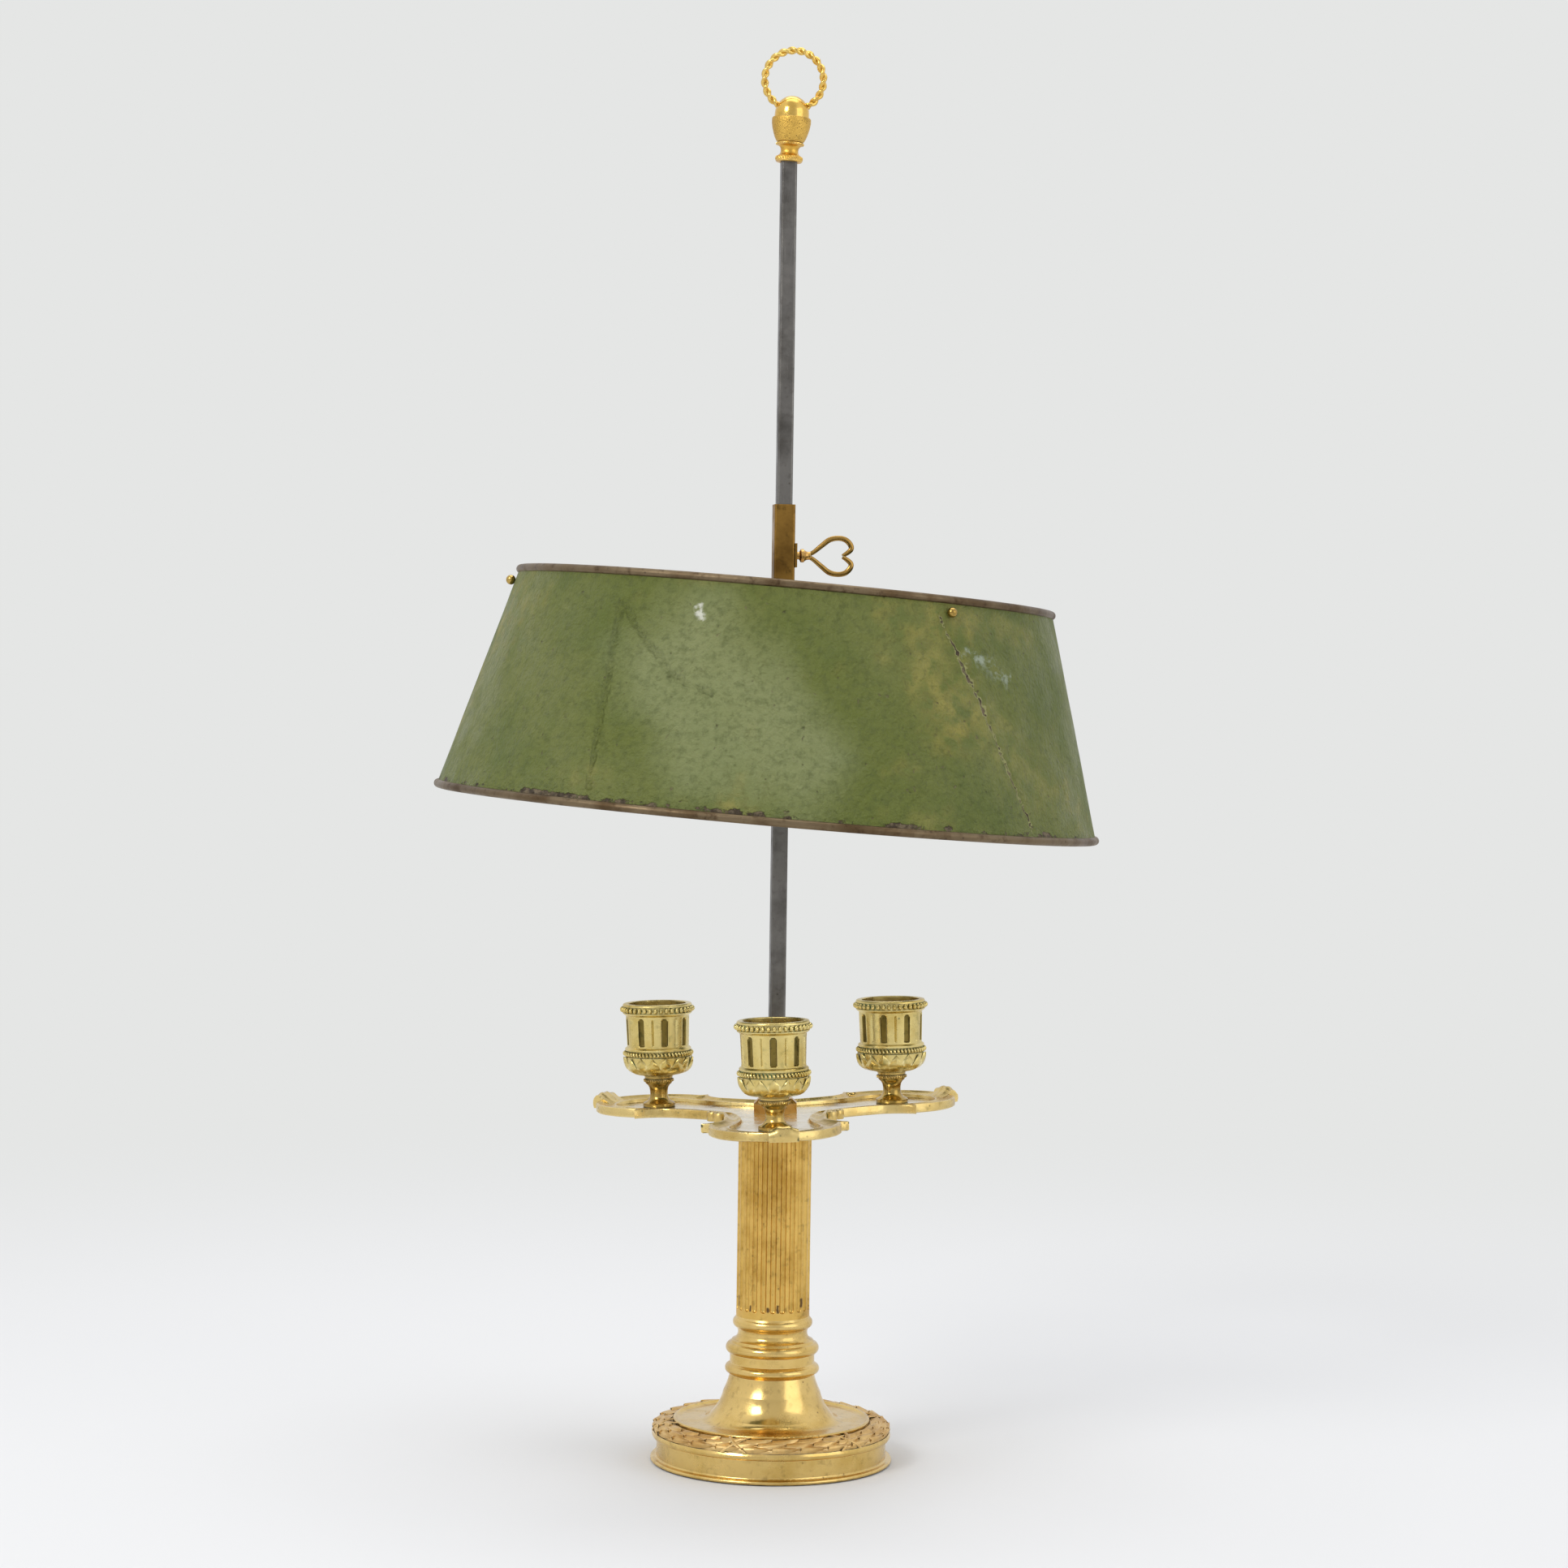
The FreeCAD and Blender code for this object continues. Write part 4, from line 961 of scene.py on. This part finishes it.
def wallRadius(height):
    slope = (shade["bottomRadius"] - shade["topRadius"]) / (shade["top"] - shade["bottom"])
    return shade["topRadius"] + (shade["top"] - height) * slope


def wallPoint(turn, height):
    a = math.radians(turn)
    r = wallRadius(height)
    return shadePlace @ Vector((r * math.cos(a) * mm, r * math.sin(a) * mm, height * mm))


def creaseDepth(turn, height):
    total = 0.0
    for run, depth, width in creases:
        nearest = 1e9
        for (t1, h1), (t2, h2) in zip(run, run[1:]):
            scale = math.radians(1) * wallRadius(height)
            ax, ay = (turn - t1) * scale, height - h1
            bx, by = (t2 - t1) * scale, h2 - h1
            share = max(0.0, min(1.0, (ax * bx + ay * by) / (bx * bx + by * by)))
            nearest = min(nearest, math.hypot(ax - bx * share, ay - by * share))
        total -= depth * math.exp(-(nearest / width) ** 2)
        total += depth * 0.5 * math.exp(-((nearest - 2 * width) / (1.6 * width)) ** 2)
    return total


def makeShadeSheet():
    bpy.ops.mesh.primitive_cone_add(
        vertices=shade["columns"], radius1=shade["bottomRadius"] * mm, radius2=shade["topRadius"] * mm,
        depth=(shade["top"] - shade["bottom"]) * mm, end_fill_type="NOTHING",
        location=(0, 0, (shade["top"] + shade["bottom"]) / 2 * mm))
    sheet = bpy.context.object
    settle(sheet)
    bpy.ops.object.mode_set(mode="EDIT")
    bpy.ops.mesh.select_all(action="DESELECT")
    bpy.ops.object.mode_set(mode="OBJECT")
    for edge in sheet.data.edges:
        a, b = (sheet.data.vertices[i].co for i in edge.vertices)
        edge.select = abs(a.z - b.z) > 0.01
    bpy.ops.object.mode_set(mode="EDIT")
    bpy.ops.mesh.subdivide(number_cuts=shade["rows"])
    bpy.ops.object.mode_set(mode="OBJECT")
    for vertex in sheet.data.vertices:
        x, y, z = vertex.co
        turn = math.degrees(math.atan2(y, x))
        height = z / mm
        nearEdge = min(shade["top"] - height, height - shade["bottom"])
        swell = sum(depth * noise.noise(Vector((x, y, z)) * scale) for depth, scale in shade["swells"])
        lift = min(1.0, nearEdge / shade["edgeFade"]) * (swell + creaseDepth(turn, height))
        reach = math.hypot(x, y)
        vertex.co.x += x / reach * lift * mm
        vertex.co.y += y / reach * lift * mm
    thicken(sheet, shade["wall"], 0.0)
    settle(sheet, shadePlace)
    return sheet


# Marks of the paint: runs on the wall with the width of each stretch in mm
paintMarks = {
    "bare": [([(-106.6, 6.6), (-105.7, 3.0)], [2.8]), ([(-105.2, 3.4), (-104.9, 1.6)], [2.0])],
    "crack": [(crackLine, [1.1, 1.4, 2.1, 1.2, 2.3, 1.1, 1.3, 1.0])],
    "fold": [(longFold, [3.0, 2.6, 1.8]), (shortFold, [2.0, 2.4, 2.0])],
    "smear": [([(-49.0, -4.0), (-40.5, -11.0)], [6.0]), ([(-52.0, -2.0), (-46.0, -4.0)], [4.0])],
    # painted sheen: a lighter patch on the front left of the wall, where the light falls
    "paintedSheen": [([(-108.0, -20.0), (-88.0, -50.0)], [45.0])],
    "edging": [([(-124.0, -70.0), (-60.0, -78.0)], [11.0]), ([(-60.0, -10.0), (-36.0, -60.0)], [20.0]),
               ([(-60.0, 12.0), (-30.0, 8.0)], [9.0])],
}


def marksOn(tree, vector, name):
    mask = None
    for run, widths in paintMarks[name]:
        mask = runMask(tree, vector, [wallPoint(*place) for place in run], widths, mask)
    return mask


# Share of paint lost along the rims, more at the foot than at the head
def nearRims(tree, place):
    axis = (shadePlace.to_3x3() @ Vector((0, 0, 1))).normalized()
    drop = vectorNode(tree, "SUBTRACT", place, shadePlace.translation)
    up = vectorNode(tree, "DOT_PRODUCT", drop, axis)
    foot = rampNode(tree, up, (shade["bottom"] + 9) * mm, (shade["bottom"] + 2.5) * mm)
    head = rampNode(tree, up, (shade["top"] - 7) * mm, (shade["top"] - 2) * mm, 0.0, 0.6)
    return mathNode(tree, "MAXIMUM", foot, head)


def makeShadePaint():
    material, tree, shader, place = newMaterial("green tole")
    tone = mixColours(tree, patchesOn(tree, place, 8.0, 0.4, 0.62), srgb(94, 103, 36), srgb(106, 112, 52))
    tone = layColour(tree, tone, srgb(80, 94, 32), patchesOn(tree, place, 22.0, 0.46, 0.72), 0.7)
    speckle = patchesOn(tree, place, 150.0, 0.38, 0.62)
    tone = layColour(tree, tone, srgb(140, 132, 60), patchesOn(tree, place, 14.0, 0.52, 0.7), speckle)
    # painted sheen: the wall is made lighter on its front left, where the light falls
    paintedSheen = marksOn(tree, looseVector(tree, place, 20.0, 0.06), "paintedSheen")
    tone = layColour(tree, tone, srgb(138, 144, 98), paintedSheen, 0.6)
    edging = marksOn(tree, looseVector(tree, place, 40.0, 0.02), "edging")
    edging = times(tree, edging, speckle)
    tone = layColour(tree, tone, srgb(144, 138, 70), edging, 0.45)
    smear = marksOn(tree, looseVector(tree, place, 110.0, 0.016), "smear")
    thin = patchesOn(tree, place, 190.0, 0.45, 0.6)
    tone = layColour(tree, tone, srgb(146, 156, 134), smear, thin)
    tone = layColour(tree, tone, srgb(66, 76, 26), patchesOn(tree, place, 300.0, 0.42, 0.72), 0.5)
    # chips, the crack with its pale lips, and bare streaks
    loose = looseVector(tree, place, 260.0, 0.006)
    ragged = noiseNode(tree, place, 62.0, 6.0, 0.7)
    flaked = rampNode(tree, times(tree, ragged, nearRims(tree, place)), 0.5, 0.54)
    crack = marksOn(tree, loose, "crack")
    lips = rampNode(tree, crack, 0.05, 0.35)
    gash = times(tree, crack, mathNode(tree, "ADD", ragged, 0.5))
    gash = rampNode(tree, gash, 0.85, 1.0)
    dots = placeGroup(tree, finePits, {"Vector": loose, "Scale": 330.0, "Size": 0.3, "Share": 0.08})
    tone = layColour(tree, tone, srgb(150, 150, 96), lips, 0.8)
    tone = layColour(tree, tone, srgb(204, 204, 188), marksOn(tree, loose, "bare"), thin)
    rust = mixColours(tree, patchesOn(tree, place, 260.0, 0.4, 0.62), srgb(58, 46, 28), srgb(112, 98, 74))
    lost = mathNode(tree, "MAXIMUM", gash, flaked)
    lost = mathNode(tree, "MAXIMUM", lost, times(tree, dots, 0.8))
    tree.links.new(mixColours(tree, lost, tone, rust), shader.inputs["Base Color"])
    dull = mathNode(tree, "MAXIMUM", lost, patchesOn(tree, place, 45.0, 0.3, 0.7))
    tree.links.new(rampNode(tree, dull, 0.0, 1.0, 0.4, 0.6), shader.inputs["Roughness"])
    # leathery skin: fine grain over wider puckers, deeper along the folds
    skin = looseVector(tree, place, 300.0, 0.002)
    peel = addNode(tree, "TexVoronoi", {"Vector": skin, "Scale": 620.0}, feature="SMOOTH_F1")
    crumple = addNode(tree, "TexNoise", {"Vector": place, "Scale": 620.0, "Detail": 3.0, "Distortion": 1.2})
    fold = marksOn(tree, looseVector(tree, place, 200.0, 0.005), "fold")
    folded = times(tree, fold, crumple.outputs[0])
    height = times(tree, peel.outputs["Distance"], 0.3)
    pucker = noiseNode(tree, place, 420.0, 4.0, 0.65)
    rolling = noiseNode(tree, place, 110.0, 4.0, 0.6)
    for layer, depth in ((pucker, 1.5), (rolling, 1.6), (folded, 1.5), (lips, 0.3), (lost, -0.55)):
        height = mathNode(tree, "MULTIPLY_ADD", layer, depth, height)
    addBump(tree, shader, height, 1.0, 0.0012)
    shader.inputs["Specular IOR Level"].default_value = 0.34
    return material


sheetShape = makeShadeSheet()
finishPiece(sheetShape, "shade_painted_sheet", makeShadePaint(), "shade_carrier", ("shade_sheet",), 60.0)


# Floor, light and camera; lamps are (place, size, watts) and all aim at the middle of the lamp
studio = {
    "floorSize": 12, "floorDrop": 0.0002, "floor": srgb(220, 220, 219), "backdrop": srgb(229, 230, 229),
    "fadeFrom": 0.25, "fadeTo": 1.3, "aim": Vector((0, 0, 0.3)), "lamps": {
        "key": ((-1.3, -1.6, 1.7), (0.8, 0.8), 20),
        "fill": ((1.8, -1.2, 1.0), (1.6, 1.6), 7),
        "top": ((0.1, 0.4, 2.2), (1.6, 1.4), 12)},
}
cameraView = {"lens": 82.0, "sensor": 36.0, "place": (0.0018, -1.65, 0.3631), "down": 1.705, "roll": 0.8}


# The floor fades into the backdrop's colour for the camera alone
def makeFloor():
    bpy.ops.mesh.primitive_plane_add(size=studio["floorSize"], location=(0, 0, -studio["floorDrop"]))
    floor = bpy.context.object
    floor.name = "pale_floor"
    material, tree, shader, place = newMaterial("pale floor")
    shader.inputs["Base Color"].default_value = studio["floor"]
    shader.inputs["Roughness"].default_value = 0.8
    away = addNode(tree, "VectorMath", {0: place}, operation="LENGTH").outputs["Value"]
    far = rampNode(tree, away, studio["fadeFrom"], studio["fadeTo"])
    plain = addNode(tree, "Emission", {"Color": studio["backdrop"], "Strength": 1.0})
    seen = addNode(tree, "LightPath").outputs["Is Camera Ray"]
    fade = addNode(tree, "MixShader", {
        0: times(tree, far, seen), 1: shader.outputs[0], 2: plain.outputs[0]})
    tree.links.new(fade.outputs[0], tree.nodes["Material Output"].inputs["Surface"])
    floor.data.materials.append(material)


# The camera sees the plain backdrop; the brass mirrors a room that darkens in front and below
def makeBackdrop():
    world = bpy.context.scene.world or bpy.data.worlds.new("studio")
    bpy.context.scene.world = world
    world.use_nodes = True
    tree = world.node_tree
    tree.nodes.clear()
    leave = tree.nodes.new("ShaderNodeOutputWorld")
    seen = addNode(tree, "Background", {"Color": studio["backdrop"], "Strength": 1.0})
    place = addNode(tree, "TexCoord").outputs["Generated"]
    split = addNode(tree, "SeparateXYZ", {"Vector": place})
    up = rampNode(tree, split.outputs["Z"], -0.1, 0.8, 0.85, 1.0)
    back = rampNode(tree, split.outputs["Y"], -0.6, 0.1, 0.72, 0.9)
    side = rampNode(tree, mathNode(tree, "ABSOLUTE", split.outputs["X"]), 0.2, 0.9, 0.0, 0.45)
    level = mathNode(tree, "MINIMUM", mathNode(tree, "ADD", back, side), 1.0)
    around = addNode(tree, "Background", {
        "Color": (0.95, 0.96, 1.0, 1.0), "Strength": times(tree, up, level)})
    camera = addNode(tree, "LightPath").outputs["Is Camera Ray"]
    mix = addNode(tree, "MixShader", {0: camera, 1: around.outputs[0], 2: seen.outputs[0]})
    tree.links.new(mix.outputs[0], leave.inputs["Surface"])


def addSoftbox(name, location, size, power):
    bpy.ops.object.light_add(type="AREA", location=location)
    lamp = bpy.context.object
    lamp.name = name
    lamp.data.shape = "RECTANGLE"
    lamp.data.size, lamp.data.size_y = size
    lamp.data.energy = power
    lamp.rotation_euler = (studio["aim"] - Vector(location)).to_track_quat("-Z", "Y").to_euler()


def makeCamera():
    data = bpy.data.cameras.new("camera")
    data.lens = cameraView["lens"]
    data.sensor_width = cameraView["sensor"]
    data.clip_end = 50.0
    camera = bpy.data.objects.new("camera", data)
    bpy.context.scene.collection.objects.link(camera)
    camera.matrix_world = (Matrix.Translation(cameraView["place"])
                           @ Matrix.Rotation(math.radians(90 - cameraView["down"]), 4, "X")
                           @ Matrix.Rotation(math.radians(cameraView["roll"]), 4, "Z"))
    bpy.context.scene.camera = camera


makeFloor()
makeBackdrop()
for lampName, (location, size, power) in studio["lamps"].items():
    addSoftbox(lampName, location, size, power)
makeCamera()
bpy.context.scene.view_settings.view_transform = "Standard"
print("stage, light and camera set")
